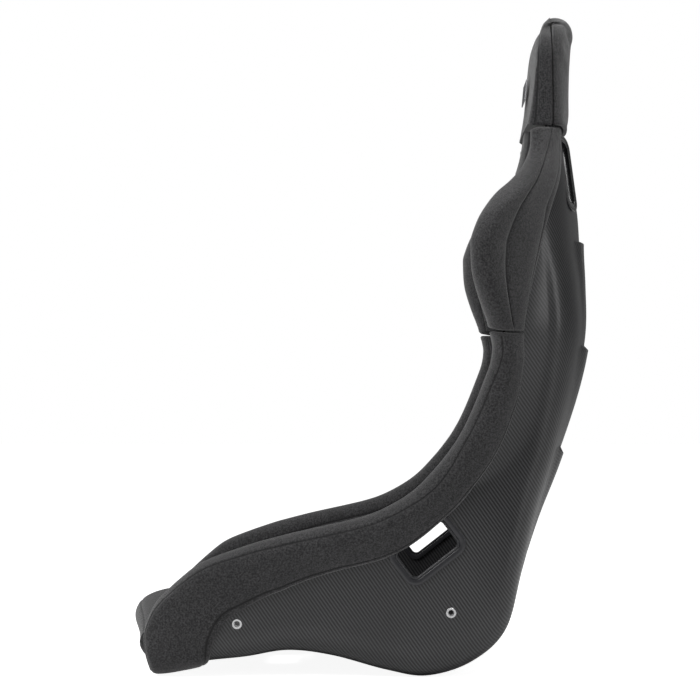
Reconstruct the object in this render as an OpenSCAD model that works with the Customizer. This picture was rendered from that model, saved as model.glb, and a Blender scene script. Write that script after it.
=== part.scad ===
// Fixed-back racing bucket seat: a laminated shell with upholstered edge rolls, loose cushions,
// harness slots with moulded bezels, and threaded inserts in its sides for side-mount brackets.
// Axes: +X is the driver's left, -Y is the front, +Z is up. The seat stands on the plane z = 0.

/* [Overall] */
// Height from the floor to the top of the head roll
seat_height = 924; // [780:1:1100]
// Depth from the front lip to the rear of the back
seat_depth = 658; // [560:1:790]

/* [Widths] */
// Width across the flat sides that carry the inserts and the lap belt slots
hip_width = 400; // [360:1:460]
// Width of the shell's rim at the thighs
thigh_width = 430; // [390:1:500]
// Width across the back's corners at the waist
waist_width = 364; // [320:1:420]
// Width across the shell's rim at the shoulder wings
shoulder_width = 530; // [470:1:620]
// Width across the shell's rim at the head
head_width = 268; // [230:1:320]

/* [Shell] */
// Thickness of the laminate
shell_wall = 2.6; // [2:0.1:5]
// Height of the steps of the scales moulded into the back
scale_step = 6.5; // [3:0.5:12]
// Half the width of the scales
scale_half = 112; // [80:1:130]

/* [Side inserts] */
// Distance between the front and rear inserts, along the seat
insert_spacing = 290; // [260:1:320]
// How much higher the rear insert sits than the front one
insert_rise = 16; // [0:1:24]
// Radius of the tapped hole at its thread crests, for M8
insert_bore = 3.4; // [2.5:0.05:5]
// Radius of the insert's barrel
insert_barrel = 7; // [6:0.1:9]
// Radius of the insert's inner flange
insert_flange = 11; // [10:0.5:14]
// Thickness of the insert's inner flange
insert_flange_t = 2.5; // [1.5:0.1:4]
// Length of the insert
insert_length = 14; // [11:0.5:18]
// Thickness of the bonded side plates
plate_t = 4; // [2:0.1:5]
// Height of the bonded side plates
plate_h = 28; // [20:1:32]

/* [Belt slots] */
// Length of the lap belt slots
lap_slot_l = 76; // [60:1:90]
// Width of the lap belt slots
lap_slot_w = 42; // [30:1:46]
// Slope of the lap belt slots
lap_slot_angle = 38; // [25:1:50]
// Width of the lap belt bezels' flange
lap_flange = 12; // [8:0.5:15]
// Length of the shoulder belt slots
shoulder_slot_l = 88; // [70:1:100]
// Width of the shoulder belt slots
shoulder_slot_w = 26; // [18:1:32]
// Width of the shoulder belt bezels' flange
shoulder_flange = 11; // [8:0.5:14]
// Length of the crotch strap slot, across the seat
crotch_slot_l = 80; // [60:1:100]
// Width of the crotch strap slot
crotch_slot_w = 26; // [18:1:34]
// Width of the crotch strap bezel's flange
crotch_flange = 9; // [6:0.5:14]
// Thickness of the bezels' flanges
flange_t = 3; // [2:0.1:5]
// Wall of the sleeves that line the slots
sleeve_t = 2.4; // [1.5:0.1:3.5]
// Radius of the slots' corners
slot_round = 7; // [4:0.5:10]

/* [Upholstery] */
// Thickness of the rolls on the outside of the shell
roll_outer = 11; // [7:0.5:16]
// How far the rolls stand over the shell's rim
roll_crest = 15; // [8:0.5:22]
// Thickness of the rolls on the inside of the shell
roll_inner = 27; // [16:0.5:32]
// Thickness of the side liners
liner_t = 12; // [8:0.5:18]
// Thickness of the seat cushion
seat_cushion_t = 46; // [30:1:55]
// Thickness of the lumbar cushion
lumbar_cushion_t = 28; // [20:1:45]
// Thickness of the back cushion
back_cushion_t = 24; // [18:1:40]
// Thickness of the head cushion
head_cushion_t = 28; // [20:1:40]
// Thickness of the hook-and-loop strips
strip_t = 2.4; // [1.5:0.1:4]
// Gap between neighbouring pieces
clearance = 0.3; // [0.1:0.05:0.6]

/* [Hidden] */
$fn = 48;

// The lines below are drawn for a seat of this depth and height, and stretch with it.
drawn_depth = 658;
drawn_height = 924;
stretch = [seat_depth / drawn_depth, seat_height / drawn_height];

// Side view of the shell's outer corner line, [y, z], from the front edge to the top.
corner_points = [
    [-270, 13], [-207, 23], [-150, 28], [-92, 36], [-31, 28], [42, 8], [98, 0], [159, 19.5],
    [206, 64], [228, 146], [248, 223], [272, 299], [296, 393], [307, 470], [304, 535],
    [297, 590], [293, 640], [289, 690], [282, 750], [282, 820], [285, 875], [287, 900]
];
// Side view of the shell's rim, [y, z], one point for each point of the corner line.
rim_points = [
    [-248, 112], [-200, 145], [-140, 165], [-75, 181], [-20, 193], [28, 206], [66, 224], [99, 246],
    [124, 272], [145, 303], [166, 340], [187, 389], [203, 432], [201, 470], [184, 526],
    [176, 583], [199, 636], [238, 686], [262, 750], [263, 820], [264, 875], [265, 900]
];
last_station = len(corner_points) - 1;

// What follows is keyed by station: [station, value].
base_half_keys = [
    [0, hip_width / 2 - 4], [0.9, hip_width / 2], [1.8, hip_width / 2], [7.2, hip_width / 2],
    [8, hip_width / 2], [9, hip_width / 2 - 2.5], [10, waist_width / 2 + 9],
    [12, waist_width / 2], [14, waist_width / 2 + 3], [16, waist_width / 2 - 12],
    [17, head_width / 2 + 16], [18, head_width / 2 - 6], [19, head_width / 2 - 10],
    [20, head_width / 2 - 22], [21, head_width / 2 - 58]
];
rim_half_keys = [
    [0, thigh_width / 2 - 10], [1, thigh_width / 2 - 3], [3, thigh_width / 2], [6, thigh_width / 2],
    [9, thigh_width / 2 - 3], [11, thigh_width / 2], [13, shoulder_width / 2 - 32],
    [14, shoulder_width / 2 - 10], [15, shoulder_width / 2], [16, shoulder_width / 2 - 18],
    [17, head_width / 2 + 62], [18, head_width / 2 + 8], [19, head_width / 2],
    [20, head_width / 2 - 14], [21, head_width / 2 - 52]
];
// Radius of the corner between the base or back and the sides.
corner_keys = [[0, 34], [2, 34], [6, 46], [9, 46], [12, 44], [16, 40], [18, 16], [21, 12]];
// How far the middle stands out beyond the corner line. At the front it is drawn in.
crown_keys = [
    [0, -34], [1, -24], [3, -8], [5, 0], [7, 0], [9, 10], [12, 16], [14, 17], [16, 20], [18, 9.5],
    [19, 8], [21, 7]
];
// How far the front edge bows forward, in the middle and on the sides.
bow_keys = [[0, 36], [1, 18], [2, 5], [3, 0], [21, 0]];
nose_keys = [[0, 16], [1, 6], [2, 0], [21, 0]];
// Share of the side that stays flat before it flares out to the rim.
flat_keys = [[0, 0.5], [3, 0.72], [6, 0.84], [7.5, 0.9], [8.5, 0.84], [10, 0.5], [12, 0.2], [21, 0]];

// Along a section v runs from 0 in the middle to 1 at the rim. The corner's arc is between these.
v_flat = 0.46;
v_arc = 0.64;

function lerp(a, b, t) = a + (b - a) * t;
function steps(a, b, n) = [for (i = [0:n]) lerp(a, b, i / n)];
function unit(p) = p / norm(p);

// Smooth curve through keys [[position, value], ...], by cubic pieces with matching slopes.
function key_before(k, u, i = 0) = (i >= len(k) - 2 || u < k[i + 1][0]) ? i : key_before(k, u, i + 1);
function key_slope(k, i) =
    let (a = max(0, i - 1), b = min(len(k) - 1, i + 1))
    (k[b][1] - k[a][1]) / (k[b][0] - k[a][0]);
function keyed(k, u) =
    let (i = key_before(k, u), h = k[i + 1][0] - k[i][0], t = (u - k[i][0]) / h)
    k[i][1] * (2 * t ^ 3 - 3 * t ^ 2 + 1) + key_slope(k, i) * h * (t ^ 3 - 2 * t ^ 2 + t)
    + k[i + 1][1] * (3 * t ^ 2 - 2 * t ^ 3) + key_slope(k, i + 1) * h * (t ^ 3 - t ^ 2);

corner_line_keys = [for (i = [0:last_station]) [i, [for (a = [0, 1]) corner_points[i][a] * stretch[a]]]];
rim_line_keys = [for (i = [0:last_station]) [i, [for (a = [0, 1]) rim_points[i][a] * stretch[a]]]];

// Section of the shell at station u: [x, depth] at v, with depth measured from the corner line
// towards the rim. Middle, corner arc and side follow each other with matching slopes.
function flare(f, flat) = f <= flat ? 0 : ((f - flat) / (1 - flat)) ^ 1.5;
function section(u, v, depth) =
    let (
        base = keyed(base_half_keys, u), rim = keyed(rim_half_keys, u), flat = keyed(flat_keys, u),
        r = min(keyed(corner_keys, u), 0.6 * depth), crown = keyed(crown_keys, u),
        x_flat = base - r, a = abs(v), arc_f = r / depth,
        arc_end = [base + (rim - base) * flare(arc_f, flat), r],
        knuckle = [base, 2 * crown * r / x_flat],
        t = (a - v_flat) / (v_arc - v_flat), f = lerp(arc_f, 1, (a - v_arc) / (1 - v_arc))
    )
    a <= v_flat ? [x_flat * a / v_flat, -crown * (1 - (a / v_flat) ^ 2)]
    : a <= v_arc ? (1 - t) ^ 2 * [x_flat, 0] + 2 * t * (1 - t) * knuckle + t ^ 2 * arc_end
    : [base + (rim - base) * flare(f, flat), depth * f];

// Point of the shell's outer surface, before the scales.
function skin(u, v) =
    let (
        c = keyed(corner_line_keys, u), r = keyed(rim_line_keys, u), depth = norm(r - c),
        p = section(u, v, depth), at = c + (r - c) * p[1] / depth,
        across = min(1, p[0] / keyed(base_half_keys, u)), up = max(0, min(1, p[1] / depth)),
        bow = keyed(bow_keys, u) * (1 - across ^ 2) ^ 3
            + keyed(nose_keys, u) * 4 * up * (1 - up) * across ^ 6
    )
    [v < 0 ? -p[0] : p[0], at[0] - bow, at[1]];
function outward(u, v) =
    let (e = 0.01, du = skin(u + e, v) - skin(u - e, v), dv = skin(u, v + e) - skin(u, v - e))
    unit(cross(du, dv));
// Point at height h above the outer surface; the inner surface is at -shell_wall.
function above(u, v, h) = skin(u, v) + h * outward(u, v);
// Point at height h above the inner surface, on the driver's side.
function inside(u, v, h) = above(u, v, -shell_wall - h);

// The scales on the back: each starts with a step at its upper end and fades out at its lower end.
scale_spans = [[9.3, 11.14], [11.22, 12.7], [12.78, 15.1]];
scale_edge = 0.07;
function scale_profile(u, s) =
    u <= s[0] || u >= s[1] + scale_edge ? 0
    : u <= s[1] ? (u - s[0]) / (s[1] - s[0])
    : 1 - (u - s[1]) / scale_edge;
function scale_across(x) = max(0, min(1, (scale_half - abs(x)) / 14));
function scale_height(u, x) =
    scale_step * scale_across(x) * max([for (s = scale_spans) scale_profile(u, s)]);

// Closed solid between two grids of points of the same size. Grid a is on the outside.
module slab(a, b) {
    rows = len(a) - 1;
    cols = len(a[0]) - 1;
    count = len(a) * len(a[0]);
    id = function(g, i, j) g * count + i * (cols + 1) + j;
    quad = function(p, q, r, s) [[p, q, r], [p, r, s]];
    faces = [
        for (i = [0:rows - 1], j = [0:cols - 1])
            each quad(id(0, i, j), id(0, i, j + 1), id(0, i + 1, j + 1), id(0, i + 1, j)),
        for (i = [0:rows - 1], j = [0:cols - 1])
            each quad(id(1, i, j), id(1, i + 1, j), id(1, i + 1, j + 1), id(1, i, j + 1)),
        for (j = [0:cols - 1]) each quad(id(0, 0, j), id(1, 0, j), id(1, 0, j + 1), id(0, 0, j + 1)),
        for (j = [0:cols - 1])
            each quad(id(0, rows, j), id(0, rows, j + 1), id(1, rows, j + 1), id(1, rows, j)),
        for (i = [0:rows - 1]) each quad(id(0, i, 0), id(0, i + 1, 0), id(1, i + 1, 0), id(1, i, 0)),
        for (i = [0:rows - 1])
            each quad(id(0, i, cols), id(1, i, cols), id(1, i + 1, cols), id(0, i + 1, cols))
    ];
    polyhedron([for (g = [a, b], r = g, p = r) p], faces, convexity = 10);
}

// Rounded bar with its length along x, used for slots and bezels.
module bar(l, w, r, h) {
    union() {
        translate([-l / 2 + r, -w / 2, 0]) cube([l - 2 * r, w, h]);
        translate([-l / 2, -w / 2 + r, 0]) cube([l, w - 2 * r, h]);
        for (x = [-1, 1], y = [-1, 1])
            translate([x * (l / 2 - r), y * (w / 2 - r), 0]) cylinder(r = r, h = h);
    }
}

// Places a piece on the outer surface at (u, v): its z points outwards, and its x is turned by
// angle from the rearward or upward direction.
module on_skin(u, v, angle) {
    z = outward(u, v);
    up = unit(skin(u + 0.05, v) - skin(u - 0.05, v));
    side = cross(z, up);
    x = up * cos(angle) + side * sin(angle);
    y = cross(z, x);
    o = skin(u, v);
    multmatrix([[x[0], y[0], z[0], o[0]], [x[1], y[1], z[1], o[1]], [x[2], y[2], z[2], o[2]]]) children();
}

module both_sides() {
    children();
    mirror([1, 0, 0]) children();
}
module right() {
    mirror([1, 0, 0]) children();
}

// Places of the fittings.
insert_middle = [-15 * stretch[0], 82 * stretch[1]];
insert_places = [for (s = [-1, 1]) insert_middle + s * [insert_spacing, insert_rise] / 2];
lap_slot_place = [98 * stretch[0], 176 * stretch[1]];
shoulder_station = 17.05;
shoulder_v = 0.385;
shoulder_turn = -8;
shoulder_tilt = -9;
shoulder_lift = -1;
crotch_lift = 1;
crotch_station = 2.75;
cut_through = 60;

module at_insert(i) {
    translate([hip_width / 2, insert_places[i][0], insert_places[i][1]]) rotate([0, 90, 0]) children();
}
module at_lap_slot() {
    translate([hip_width / 2, lap_slot_place[0], lap_slot_place[1]])
        rotate([lap_slot_angle, 0, 0]) rotate([90, 0, 90]) children();
}
module at_shoulder_slot() {
    on_skin(shoulder_station, shoulder_v, shoulder_turn)
        rotate([shoulder_tilt, 0, 0]) translate([0, 0, shoulder_lift]) children();
}
module at_crotch_slot() {
    on_skin(crotch_station, 0, 90) translate([0, 0, crotch_lift]) children();
}

module cut_slot(l, w) {
    grow = 2 * (sleeve_t + clearance);
    translate([0, 0, -cut_through])
        bar(l + grow, w + grow, slot_round + sleeve_t + clearance, 2 * cut_through);
}

// Stations and places across at which the shell's grid has its points.
shell_stations = [
    for (i = [0:17]) i / 2, 9, 9.3, 9.8, 10.4, 11.14, 11.21, 11.6, 12.2, 12.7, 12.77, 13.2, 13.8,
    14.4, 15.1, 15.17, 15.6, 16, 16.4, 16.8, 17.2, 17.6, 18, 18.6, 19.2, 19.7, 20.2, 20.6, 21
];
half_across = [0.1, 0.2, 0.29, 0.325, 0.39, v_flat, 0.5, 0.55, 0.6, v_arc, 0.72, 0.82, 0.91, 0.955, 1];
shell_across = [for (i = [len(half_across) - 1:-1:0]) -half_across[i], 0, each half_across];
function stations_between(a, b) = [a, for (u = shell_stations) if (u > a + 0.05 && u < b - 0.05) u, b];

module shell() {
    color([0.09, 0.09, 0.1]) difference() {
        slab(
            [for (u = shell_stations) [for (v = shell_across) above(u, v, scale_height(u, skin(u, v)[0]))]],
            [for (u = shell_stations) [for (v = shell_across) inside(u, v, 0)]]
        );
        both_sides() {
            at_lap_slot() cut_slot(lap_slot_l, lap_slot_w);
            at_shoulder_slot() cut_slot(shoulder_slot_l, shoulder_slot_w);
            for (i = [0, 1])
                at_insert(i) translate([0, 0, -20]) cylinder(r = insert_barrel + clearance, h = 40);
        }
        at_crotch_slot() cut_slot(crotch_slot_l, crotch_slot_w);
    }
}

// Threaded insert: a barrel through the wall and the bonded plate, with a flange inside.
insert_proud = 0.8;
module side_insert(i) {
    inner = insert_length - insert_proud;
    color([0.75, 0.75, 0.76]) at_insert(i) difference() {
        union() {
            translate([0, 0, -inner]) cylinder(r = insert_barrel, h = insert_length);
            translate([0, 0, -inner]) cylinder(r = insert_flange, h = insert_flange_t);
        }
        translate([0, 0, -inner - 1]) cylinder(r = insert_bore, h = insert_length + 2);
    }
}

// Plate bonded inside the side, from the front insert to the rear one.
plate_end = 22;
plate_long = norm([insert_spacing, insert_rise]) + 2 * plate_end;
module side_plate() {
    top = -shell_wall - 3 * clearance;
    color([0.2, 0.2, 0.21]) difference() {
        translate([hip_width / 2 + top - plate_t, insert_middle[0], insert_middle[1]])
            rotate([atan2(insert_rise, insert_spacing), 0, 0]) rotate([90, 0, 90])
                bar(plate_long, plate_h, plate_h / 2 - 0.5, plate_t);
        for (i = [0, 1])
            at_insert(i) translate([0, 0, -20]) cylinder(r = insert_barrel + clearance, h = 40);
    }
}

// Bezel: a flange on the outside with a sleeve that reaches through the shell and the inner frame.
// Its z is 0 on the shell's outer surface. stand is the extra room under the inner frame.
module bezel(l, w, flange, stand) {
    deep = shell_wall + stand + flange_t + 1;
    color([0.05, 0.05, 0.05]) difference() {
        union() {
            translate([0, 0, clearance])
                bar(l + 2 * flange, w + 2 * flange, slot_round + 0.6 * flange, flange_t);
            translate([0, 0, -deep])
                bar(l + 2 * sleeve_t, w + 2 * sleeve_t, slot_round + sleeve_t, deep + flange_t);
        }
        translate([0, 0, -deep - 1]) bar(l, w, slot_round, deep + flange_t + 3);
    }
}
module bezel_sleeve(l, w, stand) {
    deep = shell_wall + stand + flange_t + 1;
    difference() {
        translate([0, 0, -deep])
            bar(l + 2 * sleeve_t, w + 2 * sleeve_t, slot_round + sleeve_t, deep + flange_t);
        translate([0, 0, -deep - 1]) bar(l, w, slot_round, deep + flange_t + 3);
    }
}
module inner_frame(l, w, flange, stand) {
    grow = 2 * (sleeve_t + clearance);
    color([0.05, 0.05, 0.05]) translate([0, 0, -shell_wall - stand - flange_t]) difference() {
        bar(l + 2 * flange, w + 2 * flange, slot_round + 0.6 * flange, flange_t);
        translate([0, 0, -1]) bar(l + grow, w + grow, slot_round + grow / 2, flange_t + 2);
    }
}
// Room that a soft piece leaves for a bezel, an inner frame and the belt.
module slot_room(l, w, flange) {
    side = 2 * (flange + 1);
    translate([0, 0, -cut_through])
        bar(l + side, w + side, slot_round + 0.6 * flange + 1, cut_through + flange_t + 3 * clearance);
}
lap_stand = 0.4;
shoulder_stand = 6;
crotch_stand = 3;
lap_us = stations_between(4.5, 9.5);
lap_vs = [for (v = half_across) if (v > 0.6) v];
module lap_belt_bezel() {
    color([0.05, 0.05, 0.05]) difference() {
        at_lap_slot() bezel(lap_slot_l, lap_slot_w, lap_flange, lap_stand);
        difference() {
            under_skin(lap_us, lap_vs, 3);
            at_lap_slot() cut_slot(lap_slot_l, lap_slot_w);
        }
    }
}
module lap_belt_inner_frame() {
    at_lap_slot() inner_frame(lap_slot_l, lap_slot_w, lap_flange - 3, lap_stand);
}
// The back and the base are curved, so there the flanges are deep and follow the shell.
flange_depth = 9;
module seated_flange(l, w, flange) {
    translate([0, 0, -flange_depth]) difference() {
        bar(l + 2 * flange, w + 2 * flange, slot_round + 0.6 * flange, flange_depth + flange_t);
        translate([0, 0, -1]) bar(l, w, slot_round, flange_depth + flange_t + 3);
    }
}
module seated_frame(l, w, flange, stand) {
    grow = 2 * (sleeve_t + clearance);
    deep = stand + flange_t;
    translate([0, 0, -shell_wall - deep]) difference() {
        bar(l + 2 * flange, w + 2 * flange, slot_round + 0.6 * flange, deep + 2);
        translate([0, 0, -1]) bar(l + grow, w + grow, slot_round + grow / 2, deep + 6);
    }
}
module under_skin(us, vs, deep) {
    slab(
        [for (u = us) [for (v = vs) above(u, v, 3 * clearance)]],
        [for (u = us) [for (v = vs) inside(u, v, deep)]]
    );
}
module over_inside(us, vs, high) {
    slab(
        [for (u = us) [for (v = vs) above(u, v, high)]],
        [for (u = us) [for (v = vs) inside(u, v, clearance)]]
    );
}
shoulder_us = stations_between(15.6, 18.6);
shoulder_vs = [for (v = half_across) if (v < 0.75) v];
crotch_us = stations_between(1.5, 4);
crotch_vs = [for (v = shell_across) if (abs(v) < 0.3) v];
module shoulder_belt_bezel() {
    color([0.05, 0.05, 0.05]) {
        at_shoulder_slot() bezel_sleeve(shoulder_slot_l, shoulder_slot_w, shoulder_stand);
        difference() {
            at_shoulder_slot() seated_flange(shoulder_slot_l, shoulder_slot_w, shoulder_flange);
            under_skin(shoulder_us, shoulder_vs, 20);
        }
    }
}
module shoulder_belt_inner_frame() {
    color([0.05, 0.05, 0.05]) difference() {
        at_shoulder_slot()
            seated_frame(shoulder_slot_l, shoulder_slot_w, shoulder_flange - 3, shoulder_stand);
        over_inside(shoulder_us, shoulder_vs, 20);
    }
}
module crotch_strap_bezel() {
    color([0.05, 0.05, 0.05]) {
        at_crotch_slot() bezel_sleeve(crotch_slot_l, crotch_slot_w, crotch_stand);
        difference() {
            at_crotch_slot() seated_flange(crotch_slot_l, crotch_slot_w, crotch_flange);
            under_skin(crotch_us, crotch_vs, 20);
        }
    }
}
module crotch_strap_inner_frame() {
    color([0.05, 0.05, 0.05]) difference() {
        at_crotch_slot() seated_frame(crotch_slot_l, crotch_slot_w, crotch_flange - 2, crotch_stand);
        over_inside(crotch_us, crotch_vs, 20);
    }
}

// v of the point at the share f of the way from the corner line to the rim, on the side.
function v_at(u, f) =
    let (depth = norm(keyed(rim_line_keys, u) - keyed(corner_line_keys, u)))
    let (arc_f = min(keyed(corner_keys, u), 0.6 * depth) / depth)
    f < arc_f ? lerp(v_flat, v_arc, f / arc_f) : v_arc + (1 - v_arc) * (f - arc_f) / (1 - arc_f);
// Where the upholstery ends on the outside, as a share of the way from the corner line to the rim.
edge_keys = [
    [2, 0.49], [3, 0.63], [4, 0.72], [5, 0.77], [6, 0.8], [7, 0.83], [8, 0.82], [9, 0.77],
    [10, 0.71], [11, 0.69], [12, 0.76], [13, 0.78], [14, 0.57], [15, 0.39], [16, 0.33], [17, 0.27],
    [18, 0.2]
];
soft_gap = 1.4;

// Edge roll. Each row is [edge u, edge v, hem u, hem v]: the roll runs from the hem on the outside
// over the shell's edge to the inside. For each row, full gives the share of the full thickness,
// shares how much of the inside it covers, and crests how far it stands over the edge.
function uv(row, share) = [lerp(row[0], row[2], share), lerp(row[1], row[3], share)];
function out_at(row, share, h) = let (q = uv(row, share)) above(q[0], q[1], soft_gap + h);
function in_at(row, share, h) = let (q = uv(row, share)) inside(q[0], q[1], soft_gap + h);
function past_edge(row, along, h) =
    let (e = skin(row[0], row[1]), q = uv(row, 0.1), d = unit(e - skin(q[0], q[1])))
    e + d * along + outward(row[0], row[1]) * h;
hem_t = 3;
function roll_outside(row, k, share_in, crest) = [
    out_at(row, 1, hem_t), out_at(row, 0.9, k * roll_outer * 0.8), out_at(row, 0.5, k * roll_outer),
    out_at(row, 0.12, k * roll_outer), past_edge(row, crest * 0.62, k * roll_outer * 0.78),
    past_edge(row, crest, k * (roll_outer - roll_inner) / 2 - shell_wall / 2),
    past_edge(row, crest * 0.62, -k * roll_inner * 0.78 - shell_wall),
    in_at(row, 0.12 * share_in, k * roll_inner), in_at(row, 0.5 * share_in, k * roll_inner * 0.9),
    in_at(row, 0.85 * share_in, k * roll_inner * 0.6), in_at(row, share_in, hem_t)
];
function roll_underside(row, share_in) = [
    out_at(row, 1, 0), out_at(row, 0.9, 0), out_at(row, 0.5, 0), out_at(row, 0.12, 0),
    past_edge(row, soft_gap, soft_gap), past_edge(row, soft_gap, -shell_wall / 2),
    past_edge(row, soft_gap, -shell_wall - soft_gap),
    in_at(row, 0.12 * share_in, 0), in_at(row, 0.5 * share_in, 0), in_at(row, 0.85 * share_in, 0),
    in_at(row, share_in, 0)
];
module roll(rows, full, shares, crests) {
    slab(
        [for (i = [0:len(rows) - 1]) roll_outside(rows[i], full[i], shares[i], crests[i])],
        [for (i = [0:len(rows) - 1]) roll_underside(rows[i], shares[i])]
    );
}

nose_rows = [
    [0, 0.46, 0.95, 0.46], [0, 0.5, 1, 0.5], [0, 0.55, 1.06, 0.55], [0, 0.6, 1.1, 0.6],
    [0, 0.64, 1.14, 0.64], [0, 0.74, 1.26, v_at(1.26, 0.22)], [0, 0.86, 1.42, v_at(1.42, 0.33)],
    [0, 0.95, 1.58, v_at(1.58, 0.42)], [0.12, 1, 1.74, v_at(1.74, 0.46)],
    [0.5, 1, 1.96, v_at(1.96, 0.5)], [1, 1, 2.22, v_at(2.22, 0.545)], [1.5, 1, 2.5, v_at(2.5, 0.58)]
];
bolster_end = 12.98;
thigh_rows = [
    each nose_rows,
    for (u = stations_between(2.2, bolster_end))
        let (w = u + max(0, 0.55 * (4.2 - u) / 2)) [u, 1, w, v_at(w, keyed(edge_keys, w))]
];
thigh_full = [for (i = [0:len(thigh_rows) - 1]) min(1, 0.8 + 0.03 * i)];
module thigh_bolster() {
    color([0.16, 0.16, 0.17]) difference() {
        roll(thigh_rows, thigh_full, [for (r = thigh_rows) 0.85], thigh_full * roll_crest);
        at_lap_slot() slot_room(lap_slot_l, lap_slot_w, lap_flange);
    }
}
wing_end = 18.03;
// How far the wing stands over the edge, as a share of the roll's crest. It swells to meet the head.
wing_crest_keys = [
    [13, 1], [16.4, 1], [17, 0.82], [17.25, 0.82], [17.5, 1.07], [17.7, 1.45], [17.9, 1.68], [18.1, 1.78]
];
wing_rows = [for (u = stations_between(13.03, wing_end)) [u, 1, u, v_at(u, keyed(edge_keys, u))]];
module shoulder_wing() {
    color([0.16, 0.16, 0.17])
        roll(
            wing_rows, [for (r = wing_rows) min(1, max(0.62, 0.46 + (wing_end - r[0]) / 3))],
            [for (r = wing_rows) r[0] < 15.9 ? 0.8 : 0.35],
            [for (r = wing_rows) roll_crest * keyed(wing_crest_keys, r[0])]
        );
}

// Cushion on the inside of the shell. t is its thickness, and lift its height over the laminate.
function swell(s) = (1 - s ^ 4) ^ 0.5;
cushion_edge = 8;
function cushion_top(u, v, span, half, t, lift) =
    let (a = 2 * (u - span[0]) / (span[1] - span[0]) - 1)
    inside(u, v, lift + cushion_edge + (t - cushion_edge) * swell(abs(a)) * swell(abs(v) / half));
module cushion(us, half, t, lift) {
    span = [us[0], us[len(us) - 1]];
    vs = [for (k = [-6:6]) half * k / 6];
    slab(
        [for (u = us) [for (v = vs) inside(u, v, lift)]],
        [for (u = us) [for (v = vs) cushion_top(u, v, span, half, t, lift)]]
    );
}
under_cushion = strip_t + 2 * soft_gap;
module seat_cushion() {
    color([0.15, 0.15, 0.16]) difference() {
        cushion(stations_between(1.45, 6.7), 0.46, seat_cushion_t, under_cushion);
        at_crotch_slot() slot_room(crotch_slot_l, crotch_slot_w, crotch_flange - 2);
    }
}
module lumbar_cushion() {
    color([0.15, 0.15, 0.16]) cushion(stations_between(8.4, 11.9), 0.46, lumbar_cushion_t, under_cushion);
}
module back_cushion() {
    color([0.15, 0.15, 0.16]) cushion(stations_between(12, 15.9), 0.46, back_cushion_t, under_cushion);
}
module strip_on(us) {
    vs = [for (k = [-4:4]) 0.06 * k];
    color([0.06, 0.06, 0.06]) slab(
        [for (u = us) [for (v = vs) inside(u, v, soft_gap)]],
        [for (u = us) [for (v = vs) inside(u, v, soft_gap + strip_t)]]
    );
}
module seat_cushion_strip() { strip_on(stations_between(4, 6)); }
module lumbar_cushion_strip() { strip_on(stations_between(9, 11.4)); }

// Liner on the inside of a side, between the cushions and the edge roll.
function liner_top(u) = 1 - 0.85 * (1 - keyed(edge_keys, u)) - 0.07;
function liner_row(u, f0, h, edge) = [
    for (k = [0:4])
        inside(u, v_at(u, lerp(f0, liner_top(u), k / 4)), soft_gap + (k == 0 || k == 4 ? edge : h))
];
module liner(us, f0) {
    color([0.16, 0.16, 0.17])
        slab([for (u = us) liner_row(u, f0, 0, 0)], [for (u = us) liner_row(u, f0, liner_t, 4)]);
}
module torso_liner() {
    liner(stations_between(9.6, 12.9), 0.42);
}
module hip_liner() {
    difference() {
        liner(stations_between(2.2, 5.2), 0.32);
        translate([hip_width / 2 - shell_wall - plate_t - 2, insert_middle[0], insert_middle[1]])
            rotate([atan2(insert_rise, insert_spacing), 0, 0]) rotate([90, 0, 90])
                bar(plate_long + 3, plate_h + 3, plate_h / 2 + 1, 12);
        for (i = [0, 1]) at_insert(i) translate([0, 0, -40]) cylinder(r = insert_flange + 1.5, h = 50);
    }
}

// Roll over the front edge, between the sides.
front_half = 0.41;
front_vs = [for (k = [-7:7]) front_half * k / 7];
function front_edge(v, along, h) =
    let (e = skin(0, v), d = unit(e - skin(0.1, v))) e + d * along + outward(0, v) * h;
function front_outside(v) = [
    above(0.75, v, soft_gap + hem_t), above(0.55, v, soft_gap + 7), above(0.1, v, soft_gap + 8),
    front_edge(v, 9, 5), front_edge(v, 20, -9), front_edge(v, 24, -26), front_edge(v, 13, -44),
    inside(0.2, v, 52), inside(0.6, v, 54), inside(1, v, 46), inside(1.36, v, 34)
];
function front_underside(v) = [
    above(0.75, v, soft_gap), above(0.55, v, soft_gap), above(0.1, v, soft_gap),
    front_edge(v, soft_gap, soft_gap), front_edge(v, soft_gap, -shell_wall / 3),
    front_edge(v, soft_gap, -shell_wall * 2 / 3), front_edge(v, soft_gap, -shell_wall - soft_gap),
    inside(0.2, v, soft_gap), inside(0.6, v, soft_gap), inside(1, v, soft_gap), inside(1.36, v, soft_gap)
];
module front_roll() {
    color([0.16, 0.16, 0.17])
        slab([for (v = front_vs) front_outside(v)], [for (v = front_vs) front_underside(v)]);
}

// Head: a cover over the rear of the shell, and a cushion on its front that comes round the rim.
// They meet in a seam on the sides and over the top.
head_start = 18.08;
head_cover_t = 7;
head_top = 22;
head_top_half = head_width / 2 - 52;
seam_v = 0.76;
seam_y = skin(last_station, seam_v)[1];
head_skin_h = soft_gap + head_cover_t;
head_front_keys = [[17, 0.57], [18, 0.98], [19, 0.75], [20, 0.62], [20.5, 0.49], [21, 0.22]];
function head_front(u) = keyed(rim_line_keys, u)[0] - head_cushion_t * keyed(head_front_keys, u);
function rim_height(u) = keyed(rim_line_keys, u)[1];
head_us = stations_between(head_start, last_station);
function head_rim(u, side, along, h) =
    let (e = skin(u, side), d = unit(e - skin(u, 0.96 * side))) e + d * along + outward(u, side) * h;

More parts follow.
